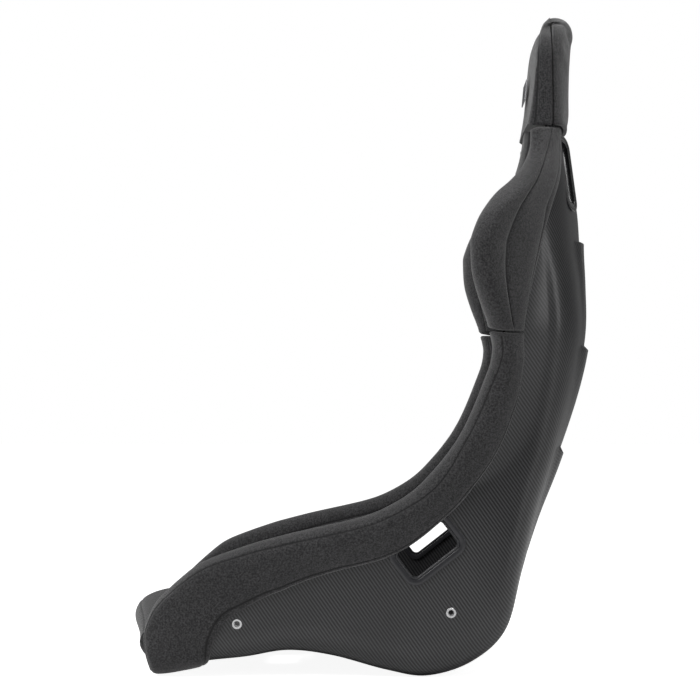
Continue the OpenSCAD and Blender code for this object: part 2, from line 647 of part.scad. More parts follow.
// Over the shell's top edge the pads are domed. turn is 0 at the front, 90 at the top and 180 at
// the back.
apex_y = 282 * stretch[0];
seam_turn = 60;
function dome(x) = head_top * (1 - 0.7 * min(1.4, (x / head_top_half) ^ 2));
function dome_row(row, lift, turn) = [
    for (p = row) [
        p[0], lerp(apex_y, p[1], abs(cos(turn))),
        rim_height(last_station) + lift + dome(p[0]) * sin(turn)
    ]
];
function seam_row(row, over, lift, y, share) = [
    for (i = [0:len(row) - 1])
        [row[i][0], y, rim_height(last_station) + lift + dome(over[i][0]) * sin(seam_turn) * share]
];
function past_top(row, lift) = [for (p = row) [p[0], p[1], rim_height(last_station) + lift]];

cover_half_vs = [0.1, 0.29, 0.46, 0.5, 0.55, 0.6, 0.64, seam_v];
cover_vs = [for (i = [7:-1:0]) -cover_half_vs[i], each cover_half_vs];
cover_lift = 2.4;
cover_seam_y = seam_y + clearance;
cover_bulge_keys = [[18, 0], [20, 0.5], [20.6, 3], [21, 4.5]];
function cover_row(u, h) = [for (v = cover_vs) above(u, v, h)];
function cover_outside(u) = [
    for (p = cover_row(u, head_skin_h + keyed(cover_bulge_keys, u)))
        [p[0], p[1], min(p[2], rim_height(last_station) + cover_lift - 0.5)]
];
module head_rear_cover() {
    top_out = cover_outside(last_station);
    top_in = cover_row(last_station, soft_gap);
    color([0.16, 0.16, 0.17]) slab(
        [
            for (u = head_us) cover_outside(u),
            past_top(top_out, cover_lift),
            for (turn = [170, 145, 118, 90]) dome_row(top_out, cover_lift, turn),
            [for (p = dome_row(top_out, cover_lift, seam_turn)) [p[0], cover_seam_y, p[2]]]
        ],
        [
            for (u = head_us) cover_row(u, soft_gap),
            past_top(top_in, cover_lift),
            for (share = [0.05, 0.25, 0.5, 0.75, 0.95])
                seam_row(top_in, top_out, cover_lift, cover_seam_y, share)
        ]
    );
}
side_v = seam_v + 0.05;
side_gap = 2.2;
cushion_lift = 1.8;
cushion_seam_y = seam_y - clearance;
head_round = 6;
function head_front_row(u) =
    let (y = head_front(u), s = head_rim(u, 1, 0, head_skin_h), o = above(u, side_v, head_skin_h))
    let (
        half = s[0], shoulder = lerp(s[1], y, 0.55), corner = lerp(s[1], y, 0.9),
        row = [
            [-o[0], o[1]], [-half, s[1]], [-half + 1, shoulder], [-half + head_round, corner],
            for (k = [-4:4]) [k * (half - 3 * head_round) / 4, y - 2 + 2 * (k / 4) ^ 2],
            [half - head_round, corner], [half - 1, shoulder], [half, s[1]], [o[0], o[1]]
        ]
    )
    [for (p = row) [p[0], p[1], rim_height(u)]];
head_back_vs = [-0.98, -0.82, -0.6, -0.46, -0.2, 0, 0.2, 0.46, 0.6, 0.82, 0.98];
function head_back_row(u) = [
    above(u, -side_v, side_gap), head_rim(u, -1, soft_gap, side_gap),
    head_rim(u, -1, soft_gap, -shell_wall - soft_gap),
    for (v = head_back_vs) inside(u, v, soft_gap),
    head_rim(u, 1, soft_gap, -shell_wall - soft_gap),
    head_rim(u, 1, soft_gap, side_gap), above(u, side_v, side_gap)
];
// The head cushion's tongue reaches down between the shoulder belt slots.
tongue_us = [17.1, 17.5, 17.9, 18.3, 18.6];
tongue_vs = [for (k = [-4:4]) 0.05 * k];
tongue_round = 9;
function tongue_back_row(u) = [for (v = tongue_vs) inside(u, v, soft_gap + 1)];
function tongue_front_row(u) = [
    for (i = [0:len(tongue_vs) - 1])
        let (p = tongue_back_row(u)[i], share = abs(tongue_vs[i]) / 0.2)
        [p[0], head_front(u) - 0.6 + tongue_round * share ^ 4, p[2]]
];
module head_cushion() {
    top_out = head_front_row(last_station);
    top_in = head_back_row(last_station);
    color([0.15, 0.15, 0.16]) union() {
        slab([for (u = tongue_us) tongue_back_row(u)], [for (u = tongue_us) tongue_front_row(u)]);
        slab(
            [
                for (u = head_us) head_back_row(u),
                past_top(top_in, cushion_lift),
                for (share = [0.05, 0.33, 0.66, 0.95])
                    seam_row(top_in, top_out, cushion_lift, cushion_seam_y, share)
            ],
            [
                for (u = head_us) head_front_row(u),
                past_top(top_out, cushion_lift),
                for (turn = [10, 26, 43]) dome_row(top_out, cushion_lift, turn),
                [for (p = dome_row(top_out, cushion_lift, seam_turn)) [p[0], cushion_seam_y, p[2]]]
            ]
        );
    }
}

// Badge on the front of the head cushion.
badge = [96, 1.6, 30];
badge_station = 18.95;
badge_tilt = atan2(
    head_front(badge_station + 0.3) - head_front(badge_station - 0.3),
    rim_height(badge_station + 0.3) - rim_height(badge_station - 0.3)
);
module head_badge() {
    color([0.5, 0.5, 0.52])
        translate([0, head_front(badge_station) - 2 - clearance, rim_height(badge_station)])
            rotate([-badge_tilt, 0, 0]) translate([-badge[0] / 2, -badge[1], -badge[2] / 2]) cube(badge);
}

shell();
side_insert(0);  // side_insert_front_left
right() side_insert(0);  // side_insert_front_right
side_insert(1);  // side_insert_rear_left
right() side_insert(1);  // side_insert_rear_right
side_plate();  // side_plate_left
right() side_plate();  // side_plate_right
lap_belt_bezel();  // lap_belt_bezel_left
right() lap_belt_bezel();  // lap_belt_bezel_right
lap_belt_inner_frame();  // lap_belt_inner_frame_left
right() lap_belt_inner_frame();  // lap_belt_inner_frame_right
shoulder_belt_bezel();  // shoulder_belt_bezel_left
right() shoulder_belt_bezel();  // shoulder_belt_bezel_right
shoulder_belt_inner_frame();  // shoulder_belt_inner_frame_left
right() shoulder_belt_inner_frame();  // shoulder_belt_inner_frame_right
thigh_bolster();  // thigh_bolster_left
right() thigh_bolster();  // thigh_bolster_right
shoulder_wing();  // shoulder_wing_left
right() shoulder_wing();  // shoulder_wing_right
hip_liner();  // hip_liner_left
right() hip_liner();  // hip_liner_right
torso_liner();  // torso_liner_left
right() torso_liner();  // torso_liner_right
crotch_strap_bezel();
crotch_strap_inner_frame();
front_roll();
seat_cushion();
lumbar_cushion();
back_cushion();
seat_cushion_strip();
lumbar_cushion_strip();
head_rear_cover();
head_cushion();
head_badge();
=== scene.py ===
"""Looks for a fixed-back racing bucket seat: a laminated shell, padded rolls and cushions, harness
slot bezels and side-mount inserts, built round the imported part. Shapes are worked out in
millimetres and put into the meshes in metres."""

import math

import bpy
import numpy as np
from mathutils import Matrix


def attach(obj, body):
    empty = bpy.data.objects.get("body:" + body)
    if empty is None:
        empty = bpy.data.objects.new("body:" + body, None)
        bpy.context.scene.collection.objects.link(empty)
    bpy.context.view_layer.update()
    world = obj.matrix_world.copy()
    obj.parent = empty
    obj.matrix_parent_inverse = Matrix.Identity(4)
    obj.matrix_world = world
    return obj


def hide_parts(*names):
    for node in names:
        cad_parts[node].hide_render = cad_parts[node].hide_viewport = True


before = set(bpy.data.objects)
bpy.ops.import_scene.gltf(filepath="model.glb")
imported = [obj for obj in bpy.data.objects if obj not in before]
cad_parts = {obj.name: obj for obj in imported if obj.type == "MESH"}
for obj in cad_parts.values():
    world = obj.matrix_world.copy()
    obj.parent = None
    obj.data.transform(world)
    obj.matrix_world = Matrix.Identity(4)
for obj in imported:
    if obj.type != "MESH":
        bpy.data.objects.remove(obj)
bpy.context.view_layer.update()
MM = 0.001

# ---------------------------------------------------------------- sizes shared with the part
HIP_WIDTH, THIGH_WIDTH, WAIST_WIDTH, SHOULDER_WIDTH, HEAD_WIDTH = 400, 430, 364, 530, 268
WALL = 2.6
SCALE_STEP, SCALE_HALF = 6.5, 112
GAP = 1.4
CLEARANCE = 0.3
ROLL_OUTER, ROLL_CREST, ROLL_INNER, HEM = 11, 15, 27, 3
LAP_SLOT, SHOULDER_SLOT, CROTCH_SLOT = (76, 42), (88, 26), (80, 26)
LAP_FLANGE, SHOULDER_FLANGE, CROTCH_FLANGE = 12, 11, 9
FLANGE_T, SLEEVE_T, SLOT_ROUND = 3, 2.4, 7
INSERTS = ((-160, 74), (130, 90))
PLATE_MIDDLE, PLATE_SPAN, PLATE_H, PLATE_END, PLATE_T = (-15, 82), (290, 16), 28, 22, 4
BORE_R, BARREL_R, COLLAR_R, COLLAR_T, INSERT_PROUD, INSERT_END = 3.4, 7, 11, 2.5, 0.8, -13.2
STRIP_T, LINER_T, LAST = 2.4, 12, 21

# Side view of the shell's corner line and of its rim, [y, z], one point for each station.
CORNER_LINE = np.array([
    [-270, 13], [-207, 23], [-150, 28], [-92, 36], [-31, 28], [42, 8], [98, 0], [159, 19.5],
    [206, 64], [228, 146], [248, 223], [272, 299], [296, 393], [307, 470], [304, 535],
    [297, 590], [293, 640], [289, 690], [282, 750], [282, 820], [285, 875], [287, 900]], float)
RIM_LINE = np.array([
    [-248, 112], [-200, 145], [-140, 165], [-75, 181], [-20, 193], [28, 206], [66, 224], [99, 246],
    [124, 272], [145, 303], [166, 340], [187, 389], [203, 432], [201, 470], [184, 526],
    [176, 583], [199, 636], [238, 686], [262, 750], [263, 820], [264, 875], [265, 900]], float)

# Keyed by station: (station, value).
BASE_HALF = [
    (0, HIP_WIDTH / 2 - 4), (0.9, HIP_WIDTH / 2), (1.8, HIP_WIDTH / 2), (7.2, HIP_WIDTH / 2),
    (8, HIP_WIDTH / 2), (9, HIP_WIDTH / 2 - 2.5), (10, WAIST_WIDTH / 2 + 9),
    (12, WAIST_WIDTH / 2), (14, WAIST_WIDTH / 2 + 3), (16, WAIST_WIDTH / 2 - 12),
    (17, HEAD_WIDTH / 2 + 16), (18, HEAD_WIDTH / 2 - 6), (19, HEAD_WIDTH / 2 - 10),
    (20, HEAD_WIDTH / 2 - 22), (21, HEAD_WIDTH / 2 - 58)]
RIM_HALF = [
    (0, THIGH_WIDTH / 2 - 10), (1, THIGH_WIDTH / 2 - 3), (3, THIGH_WIDTH / 2), (6, THIGH_WIDTH / 2),
    (9, THIGH_WIDTH / 2 - 3), (11, THIGH_WIDTH / 2), (13, SHOULDER_WIDTH / 2 - 32),
    (14, SHOULDER_WIDTH / 2 - 10), (15, SHOULDER_WIDTH / 2), (16, SHOULDER_WIDTH / 2 - 18),
    (17, HEAD_WIDTH / 2 + 62), (18, HEAD_WIDTH / 2 + 8), (19, HEAD_WIDTH / 2),
    (20, HEAD_WIDTH / 2 - 14), (21, HEAD_WIDTH / 2 - 52)]
CORNER_R = [(0, 34), (2, 34), (6, 46), (9, 46), (12, 44), (16, 40), (18, 16), (21, 12)]
CROWN = [(0, -34), (1, -24), (3, -8), (5, 0), (7, 0), (9, 10), (12, 16), (14, 17), (16, 20),
         (18, 9.5), (19, 8), (21, 7)]
BOW = [(0, 36), (1, 18), (2, 5), (3, 0), (21, 0)]
NOSE = [(0, 16), (1, 6), (2, 0), (21, 0)]
FLAT = [(0, 0.5), (3, 0.72), (6, 0.84), (7.5, 0.9), (8.5, 0.84), (10, 0.5), (12, 0.2), (21, 0)]
HEM_EDGE = [(2, 0.49), (3, 0.63), (4, 0.72), (5, 0.77), (6, 0.8), (7, 0.83), (8, 0.82), (9, 0.77),
            (10, 0.71), (11, 0.69), (12, 0.76), (13, 0.78), (14, 0.57), (15, 0.39), (16, 0.33),
            (17, 0.27), (18, 0.2)]
V_FLAT, V_ARC = 0.46, 0.64
SCALES = ((9.3, 11.14), (11.22, 12.7), (12.78, 15.1))
SCALE_EDGE = 0.07


# ---------------------------------------------------------------- the seat's surface
def keyed(keys, u):
    """Smooth curve through (position, value) keys: cubic pieces, whose slope at a key is the slope
    of the line between its two neighbours."""
    k = np.asarray(keys, float)
    x, y = k[:, 0], k[:, 1]
    n = np.arange(len(x))
    lo, hi = np.maximum(n - 1, 0), np.minimum(n + 1, len(x) - 1)
    slope = (y[hi] - y[lo]) / (x[hi] - x[lo])
    u = np.asarray(u, float)
    i = np.clip(np.searchsorted(x, u, side="right") - 1, 0, len(x) - 2)
    h = x[i + 1] - x[i]
    t = (u - x[i]) / h
    return (y[i] * (2 * t**3 - 3 * t**2 + 1) + slope[i] * h * (t**3 - 2 * t**2 + t)
            + y[i + 1] * (3 * t**2 - 2 * t**3) + slope[i + 1] * h * (t**3 - t**2))


def line_keys(line, axis):
    return np.stack([np.arange(len(line)), line[:, axis]], 1)


CY, CZ, RY, RZ = (line_keys(CORNER_LINE, 0), line_keys(CORNER_LINE, 1),
                  line_keys(RIM_LINE, 0), line_keys(RIM_LINE, 1))


def lerp(a, b, t):
    return a + (b - a) * t


def smooth(lo, hi, x):
    """0 below lo, 1 above hi, and three t squared less two t cubed between them."""
    t = np.clip((np.asarray(x, float) - lo) / (hi - lo), 0, 1)
    return t * t * (3 - 2 * t)


def skin(u, v):
    """Point of the shell's outer surface at station u and place v across, 0 in the middle and 1 at
    the rim: a parabola across the middle, a quadratic arc round the corner, and a side that stays
    flat and then flares with the power one and a half, carried along the corner and rim lines."""
    u, v = np.broadcast_arrays(np.asarray(u, float), np.asarray(v, float))
    cy, cz, ry, rz = (keyed(k, u) for k in (CY, CZ, RY, RZ))
    dy, dz = ry - cy, rz - cz
    depth = np.hypot(dy, dz)
    base, rim, flat, crown = (keyed(k, u) for k in (BASE_HALF, RIM_HALF, FLAT, CROWN))
    r = np.minimum(keyed(CORNER_R, u), 0.6 * depth)
    x_flat, a, arc_f = base - r, np.abs(v), r / depth

    def flare(f):
        return np.where(f <= flat, 0, (np.maximum(f - flat, 0) / (1 - flat)) ** 1.5)

    t = np.clip((a - V_FLAT) / (V_ARC - V_FLAT), 0, 1)
    f = lerp(arc_f, 1, (a - V_ARC) / (1 - V_ARC))
    arc_x = base + (rim - base) * flare(arc_f)
    where = [a <= V_FLAT, a <= V_ARC]
    x = np.select(where, [x_flat * a / V_FLAT, (1 - t)**2 * x_flat + 2 * t * (1 - t) * base + t**2 * arc_x],
                  base + (rim - base) * flare(f))
    d = np.select(where, [-crown * (1 - (a / V_FLAT)**2),
                          2 * t * (1 - t) * 2 * crown * r / x_flat + t**2 * r], depth * f)
    across, up = np.minimum(1, x / base), np.clip(d / depth, 0, 1)
    bow = keyed(BOW, u) * (1 - across**2)**3 + keyed(NOSE, u) * 4 * up * (1 - up) * across**6
    return np.stack([np.where(v < 0, -x, x), cy + dy * d / depth - bow, cz + dz * d / depth], -1)


def unit(p):
    return p / np.linalg.norm(p, axis=-1, keepdims=True)


def outward(u, v):
    """Unit normal of the outer surface: the cross product of its slopes along u and v."""
    e = 0.01
    return unit(np.cross(skin(u + e, v) - skin(u - e, v), skin(u, v + e) - skin(u, v - e)))


def above(u, v, h):
    """Point at height h over the outer surface."""
    u, v, h = np.broadcast_arrays(np.asarray(u, float), np.asarray(v, float), np.asarray(h, float))
    return skin(u, v) + h[..., None] * outward(u, v)


def inside(u, v, h):
    """Point at height h over the inner surface, on the driver's side."""
    return above(u, v, -WALL - np.asarray(h, float))


def v_at(u, f):
    """v of the point at the share f of the way from the corner line to the rim."""
    depth = np.hypot(keyed(RY, u) - keyed(CY, u), keyed(RZ, u) - keyed(CZ, u))
    arc = np.minimum(keyed(CORNER_R, u), 0.6 * depth) / depth
    return np.where(f < arc, lerp(V_FLAT, V_ARC, f / arc), V_ARC + (1 - V_ARC) * (f - arc) / (1 - arc))


def scale_height(u, x):
    """Height of the scales on the back: each rises in a straight line to its step, and the step
    falls away within a short edge. It fades out to the sides."""
    share = np.zeros(np.broadcast(u, x).shape)
    for lo, hi in SCALES:
        rise = np.where(u <= hi, (u - lo) / (hi - lo), 1 - (u - hi) / SCALE_EDGE)
        share = np.maximum(share, np.where((u > lo) & (u < hi + SCALE_EDGE), rise, 0))
    return SCALE_STEP * np.clip((SCALE_HALF - np.abs(x)) / 14, 0, 1) * share


# ---------------------------------------------------------------- mesh making
def tidy_mesh(me, angle=None):
    """Merges doubles, turns the faces outwards and shades smooth, with edges over angle sharp."""
    import bmesh
    bm = bmesh.new()
    bm.from_mesh(me)
    bmesh.ops.remove_doubles(bm, verts=bm.verts, dist=2e-6)
    bmesh.ops.recalc_face_normals(bm, faces=bm.faces)
    bm.to_mesh(me)
    bm.free()
    me.polygons.foreach_set("use_smooth", np.ones(len(me.polygons), bool))
    if angle:
        me.set_sharp_from_angle(angle=math.radians(angle))


def new_object(name, points, faces):
    """Object with the given points, in millimetres, and faces, an array of corner numbers."""
    me = bpy.data.meshes.new(name)
    faces = np.asarray(faces, np.int32)
    me.vertices.add(len(points))
    me.vertices.foreach_set("co", (np.asarray(points, np.float64) * MM).astype(np.float32).ravel())
    me.loops.add(faces.size)
    me.loops.foreach_set("vertex_index", faces.ravel())
    me.polygons.add(len(faces))
    me.polygons.foreach_set("loop_start", np.arange(len(faces), dtype=np.int32) * faces.shape[1])
    me.update(calc_edges=True)
    me.validate()
    me.polygons.foreach_set("use_smooth", np.ones(len(faces), bool))
    ob = bpy.data.objects.new(name, me)
    bpy.context.scene.collection.objects.link(ob)
    return ob


def quads(a, b, c, d):
    return np.stack([a, b, c, d], -1).reshape(-1, 4)


def slab_faces(n, m):
    """Faces of a closed solid between two grids of n by m points. The first grid is outside."""
    one = np.arange(n * m).reshape(n, m)
    two = one + n * m
    return np.concatenate([
        quads(one[:-1, :-1], one[1:, :-1], one[1:, 1:], one[:-1, 1:]),
        quads(two[:-1, :-1], two[:-1, 1:], two[1:, 1:], two[1:, :-1]),
        quads(one[0, :-1], one[0, 1:], two[0, 1:], two[0, :-1]),
        quads(one[-1, :-1], two[-1, :-1], two[-1, 1:], one[-1, 1:]),
        quads(one[:-1, 0], two[:-1, 0], two[1:, 0], one[1:, 0]),
        quads(one[:-1, -1], one[1:, -1], two[1:, -1], two[:-1, -1])])


def slab(name, outer, inner):
    """Closed solid between the outer and the inner grid, each of n by m points."""
    n, m = outer.shape[:2]
    points = np.concatenate([outer.reshape(-1, 3), inner.reshape(-1, 3)])
    return new_object(name, points, slab_faces(n, m))


def point_value(ob, name, values):
    layer = ob.data.attributes.new(name, "FLOAT", "POINT")
    layer.data.foreach_set("value", np.asarray(values, np.float32).ravel())


def evaluated(ob):
    """Replaces the object's mesh by what its modifiers make of it."""
    graph = bpy.context.evaluated_depsgraph_get()
    me = bpy.data.meshes.new_from_object(
        ob.evaluated_get(graph), preserve_all_data_layers=True, depsgraph=graph)
    ob.modifiers.clear()
    old = ob.data
    ob.data = me
    bpy.data.meshes.remove(old)
    me.name = ob.name


def coordinates(me):
    co = np.empty(len(me.vertices) * 3, np.float32)
    me.vertices.foreach_get("co", co)
    return co.reshape(-1, 3).astype(float)


def cut(ob, cutters):
    """Takes the cutters' room out of the object."""
    for c in cutters:
        mod = ob.modifiers.new("cut", "BOOLEAN")
        mod.operation, mod.object, mod.solver = "DIFFERENCE", c, "EXACT"
    evaluated(ob)
    for c in cutters:
        me = c.data
        bpy.data.objects.remove(c)
        bpy.data.meshes.remove(me)


def mirrored(ob, name):
    """The other side's piece: x turned round, and each face's corners taken the other way."""
    me = ob.data.copy()
    me.name = name
    co = coordinates(me)
    co[:, 0] *= -1
    me.vertices.foreach_set("co", co.astype(np.float32).ravel())
    me.flip_normals()
    me.update()
    other = bpy.data.objects.new(name, me)
    bpy.context.scene.collection.objects.link(other)
    return other


# ---------------------------------------------------------------- places of the fittings
def place_matrix(origin, x, y, z):
    m = np.eye(4)
    m[:3, 0], m[:3, 1], m[:3, 2], m[:3, 3] = x, y, z, origin
    return m


def turned(axis, degrees):
    c, s = math.cos(math.radians(degrees)), math.sin(math.radians(degrees))
    m = np.eye(4)
    i, j = [(1, 2), (2, 0), (0, 1)][axis]
    m[i, i], m[i, j], m[j, i], m[j, j] = c, -s, s, c
    return m


def moved(x, y, z):
    m = np.eye(4)
    m[:3, 3] = x, y, z
    return m


def on_skin(u, v, angle):
    z = outward(u, v)
    up = unit(skin(u + 0.05, v) - skin(u - 0.05, v))
    side = np.cross(z, up)
    a = math.radians(angle)
    x = up * math.cos(a) + side * math.sin(a)
    return place_matrix(skin(u, v), x, np.cross(z, x), z)


LAP_PLACE = moved(HIP_WIDTH / 2, 98, 176) @ turned(0, 38) @ turned(2, 90) @ turned(0, 90)
SHOULDER_PLACE = on_skin(17.05, 0.385, -8) @ turned(0, -9) @ moved(0, 0, -1)
CROTCH_PLACE = on_skin(2.75, 0, 90) @ moved(0, 0, 1)
INSERT_PLACES = [moved(HIP_WIDTH / 2, y, z) @ turned(1, 90) for y, z in INSERTS]


def placed(points, m):
    return points @ m[:3, :3].T + m[:3, 3]


def rounded(l, w, r, n=8):
    """Outline of a rounded rectangle, anticlockwise, and its outward normals: quarter circles of
    radius r round the four inner corners, joined by straight lines."""
    turn = np.linspace(0, math.pi / 2, n + 1)
    x, y = l / 2 - r, w / 2 - r
    centres = [(x, y), (-x, y), (-x, -y), (x, -y)]
    normals = np.concatenate([np.stack([np.cos(turn + k * math.pi / 2), np.sin(turn + k * math.pi / 2)], 1)
                              for k in range(4)])
    return np.repeat(np.array(centres), n + 1, 0) + r * normals, normals


def ring(name, path, normals, profile, m):
    """Closed ring: the profile, a closed loop of (out, height) pairs, carried round the path."""
    profile = np.asarray(profile, float)
    if profile.ndim == 2:
        profile = np.repeat(profile[None], len(path), 0)
    xy = path[:, None, :] + normals[:, None, :] * profile[..., :1]
    pts = placed(np.concatenate([xy, profile[..., 1:]], 2), m)
    n, k = pts.shape[:2]
    i = np.arange(n * k).reshape(n, k)
    nxt = np.roll(i, -1, 0)
    faces = quads(i, nxt, np.roll(nxt, -1, 1), np.roll(i, -1, 1))
    ob = new_object(name, pts.reshape(-1, 3), faces)
    return ob


def cutter(m, l, w, r, lo, hi):
    """Rounded bar used to cut a slot, from height lo to hi."""
    path, _ = rounded(l, w, r)
    n = len(path)
    pts = np.concatenate([np.c_[path, np.full(n, lo)], np.c_[path, np.full(n, hi)],
                          [[0, 0, lo], [0, 0, hi]]])
    i = np.arange(n)
    j = (i + 1) % n
    me = bpy.data.meshes.new("cutter")
    faces = ([[a, b, b + n, a + n] for a, b in zip(i.tolist(), j.tolist())]
             + [[b, a, 2 * n] for a, b in zip(i.tolist(), j.tolist())]
             + [[a + n, b + n, 2 * n + 1] for a, b in zip(i.tolist(), j.tolist())])
    me.from_pydata((placed(pts, m) * MM).tolist(), [], faces)
    ob = bpy.data.objects.new("cutter", me)
    bpy.context.scene.collection.objects.link(ob)
    return ob


def round_cutter(m, r, lo, hi):
    return cutter(m, 2 * r, 2 * r, r - 0.01, lo, hi)


MIRROR = np.diag([-1.0, 1, 1, 1])


def both(m):
    """The place and its mirror image, as a turned frame so that a cutter keeps its faces outward."""
    other = MIRROR @ m
    other[:3, 1] *= -1
    return [m, other]


# ---------------------------------------------------------------- materials
def material(name, build):
    mat = bpy.data.materials.new(name)
    mat.use_nodes = True
    tree = mat.node_tree
    tree.nodes.clear()
    out = tree.nodes.new("ShaderNodeOutputMaterial")
    shader = tree.nodes.new("ShaderNodeBsdfPrincipled")
    tree.links.new(shader.outputs[0], out.inputs[0])
    build(tree, shader)
    return mat


def math_node(tree, operation, a, b=0.0, c=0.0):
    node = tree.nodes.new("ShaderNodeMath")
    node.operation = operation
    for socket, value in zip(node.inputs, (a, b, c)):
        if isinstance(value, (int, float)):
            socket.default_value = value
        else:
            tree.links.new(value, socket)
    return node.outputs[0]


def one_minus(tree, a):
    return math_node(tree, "SUBTRACT", 1.0, a)


def mix_colour(tree, factor, a, b):
    """Blend from colour a to colour b by the factor."""
    node = tree.nodes.new("ShaderNodeMix")
    node.data_type = "RGBA"
    for socket, value in zip((node.inputs[0], node.inputs[6], node.inputs[7]), (factor, a, b)):
        if isinstance(value, (int, float)):
            socket.default_value = value
        elif isinstance(value, tuple):
            socket.default_value = (*value, 1)
        else:
            tree.links.new(value, socket)
    return node.outputs[2]


def bump(tree, shader, height, distance, strength=1.0):
    node = tree.nodes.new("ShaderNodeBump")
    node.inputs["Distance"].default_value = distance
    node.inputs["Strength"].default_value = strength
    tree.links.new(height, node.inputs["Height"])
    tree.links.new(node.outputs[0], shader.inputs["Normal"])


def uv_axes(tree, size):
    """The piece's own flat coordinates, counted in cells of the given size."""
    uv = tree.nodes.new("ShaderNodeUVMap")
    uv.uv_map = "flat"
    split = tree.nodes.new("ShaderNodeSeparateXYZ")
    tree.links.new(uv.outputs[0], split.inputs[0])
    return [math_node(tree, "DIVIDE", split.outputs[k], size) for k in (0, 1)]


def object_noise(tree, scale, detail=2.0):
    where = tree.nodes.new("ShaderNodeTexCoord")
    noise = tree.nodes.new("ShaderNodeTexNoise")
    noise.inputs["Scale"].default_value = scale
    noise.inputs["Detail"].default_value = detail
    tree.links.new(where.outputs["Object"], noise.inputs["Vector"])
    return noise.outputs[0]


# Width of a tow, in metres, and the tones of the tows that lie level and stand upright, the upright ones
# painted lighter as their sheen, of the painted shade in the dips between them, and of the slow drift over
# the panel.
TOW = 0.00145
LEVEL_TOW, UPRIGHT_TOW_SHEEN = (0.004, 0.0041, 0.0043), (0.1, 0.101, 0.106)
DIP_SHADE_TONE, DRIFT_TONE = (0.004, 0.004, 0.0045), (0.008, 0.008, 0.0085)
ACROSS_POWER, ALONG_POWER, DIP_SHADE = 0.5, 0.35, 0.45


def laminate_look(tree, shader):
    """Two-two twill under clear lacquer: a cell shows its upright tow where the sum of its column
    and row, counted modulo four, is under two. Each tow is a low barrel. The upright tows are painted
    lighter than the level ones as their sheen, and the dips between the tows are painted dark as shade."""
    x, y = uv_axes(tree, TOW)
    col, row = math_node(tree, "FLOOR", x), math_node(tree, "FLOOR", y)
    fx, fy = math_node(tree, "SUBTRACT", x, col), math_node(tree, "SUBTRACT", y, row)
    phase = math_node(tree, "FLOORED_MODULO", math_node(tree, "ADD", col, row), 4.0)
    upright = math_node(tree, "LESS_THAN", phase, 1.5)

    def barrel(across, along, start):
        """Four a (1 - a) across the tow, and the same along its float of two cells, each raised to
        a power that flattens its top."""
        float_along = math_node(tree, "ADD", math_node(tree, "SUBTRACT", phase, start), along)
        p = math_node(tree, "DIVIDE", float_along, 2.0)
        a = math_node(tree, "MULTIPLY", across, one_minus(tree, across))
        b = math_node(tree, "MULTIPLY", p, one_minus(tree, p))
        b = math_node(tree, "MAXIMUM", math_node(tree, "MULTIPLY", b, 4.0), 0.0)
        return math_node(tree, "MULTIPLY",
                         math_node(tree, "POWER", math_node(tree, "MULTIPLY", a, 4.0), ACROSS_POWER),
                         math_node(tree, "POWER", b, ALONG_POWER))

    up, flat = barrel(fx, fy, 0.0), barrel(fy, fx, 2.0)
    height = math_node(tree, "ADD", math_node(tree, "MULTIPLY", up, upright),
                       math_node(tree, "MULTIPLY", flat, one_minus(tree, upright)))
    # painted sheen: the upright tows are lighter than the level ones only as their reflection
    tone = mix_colour(tree, upright, LEVEL_TOW, UPRIGHT_TOW_SHEEN)
    dip = math_node(tree, "MULTIPLY_ADD", height, -DIP_SHADE, DIP_SHADE)
    # painted shade: the dips between the tows darken toward this near-black tone
    tone = mix_colour(tree, dip, tone, DIP_SHADE_TONE)
    drift = math_node(tree, "MULTIPLY_ADD", object_noise(tree, 9.0), 0.5, 0.15)
    tone = mix_colour(tree, drift, tone, DRIFT_TONE)
    tree.links.new(tone, shader.inputs["Base Color"])
    bump(tree, shader, height, 0.0001, 0.5)
    shader.inputs["Roughness"].default_value = 0.42
    shader.inputs["Specular IOR Level"].default_value = 0.5
    shader.inputs["Coat Weight"].default_value = 0.55
    shader.inputs["Coat Roughness"].default_value = 0.2


# Width of a stitch of each cloth, in metres.
KNIT, CUSHION_KNIT, HOOK_PITCH = 0.0011, 0.0016, 0.0022
# The seam tone is painted shade for the drawn-in seams.
SEAM_SHADE_TONE = (0.004, 0.004, 0.0045)
FUZZ_SCALE, FUZZ_DETAIL, GRAIN_CONTRAST = 420.0, 6.0, 3.2


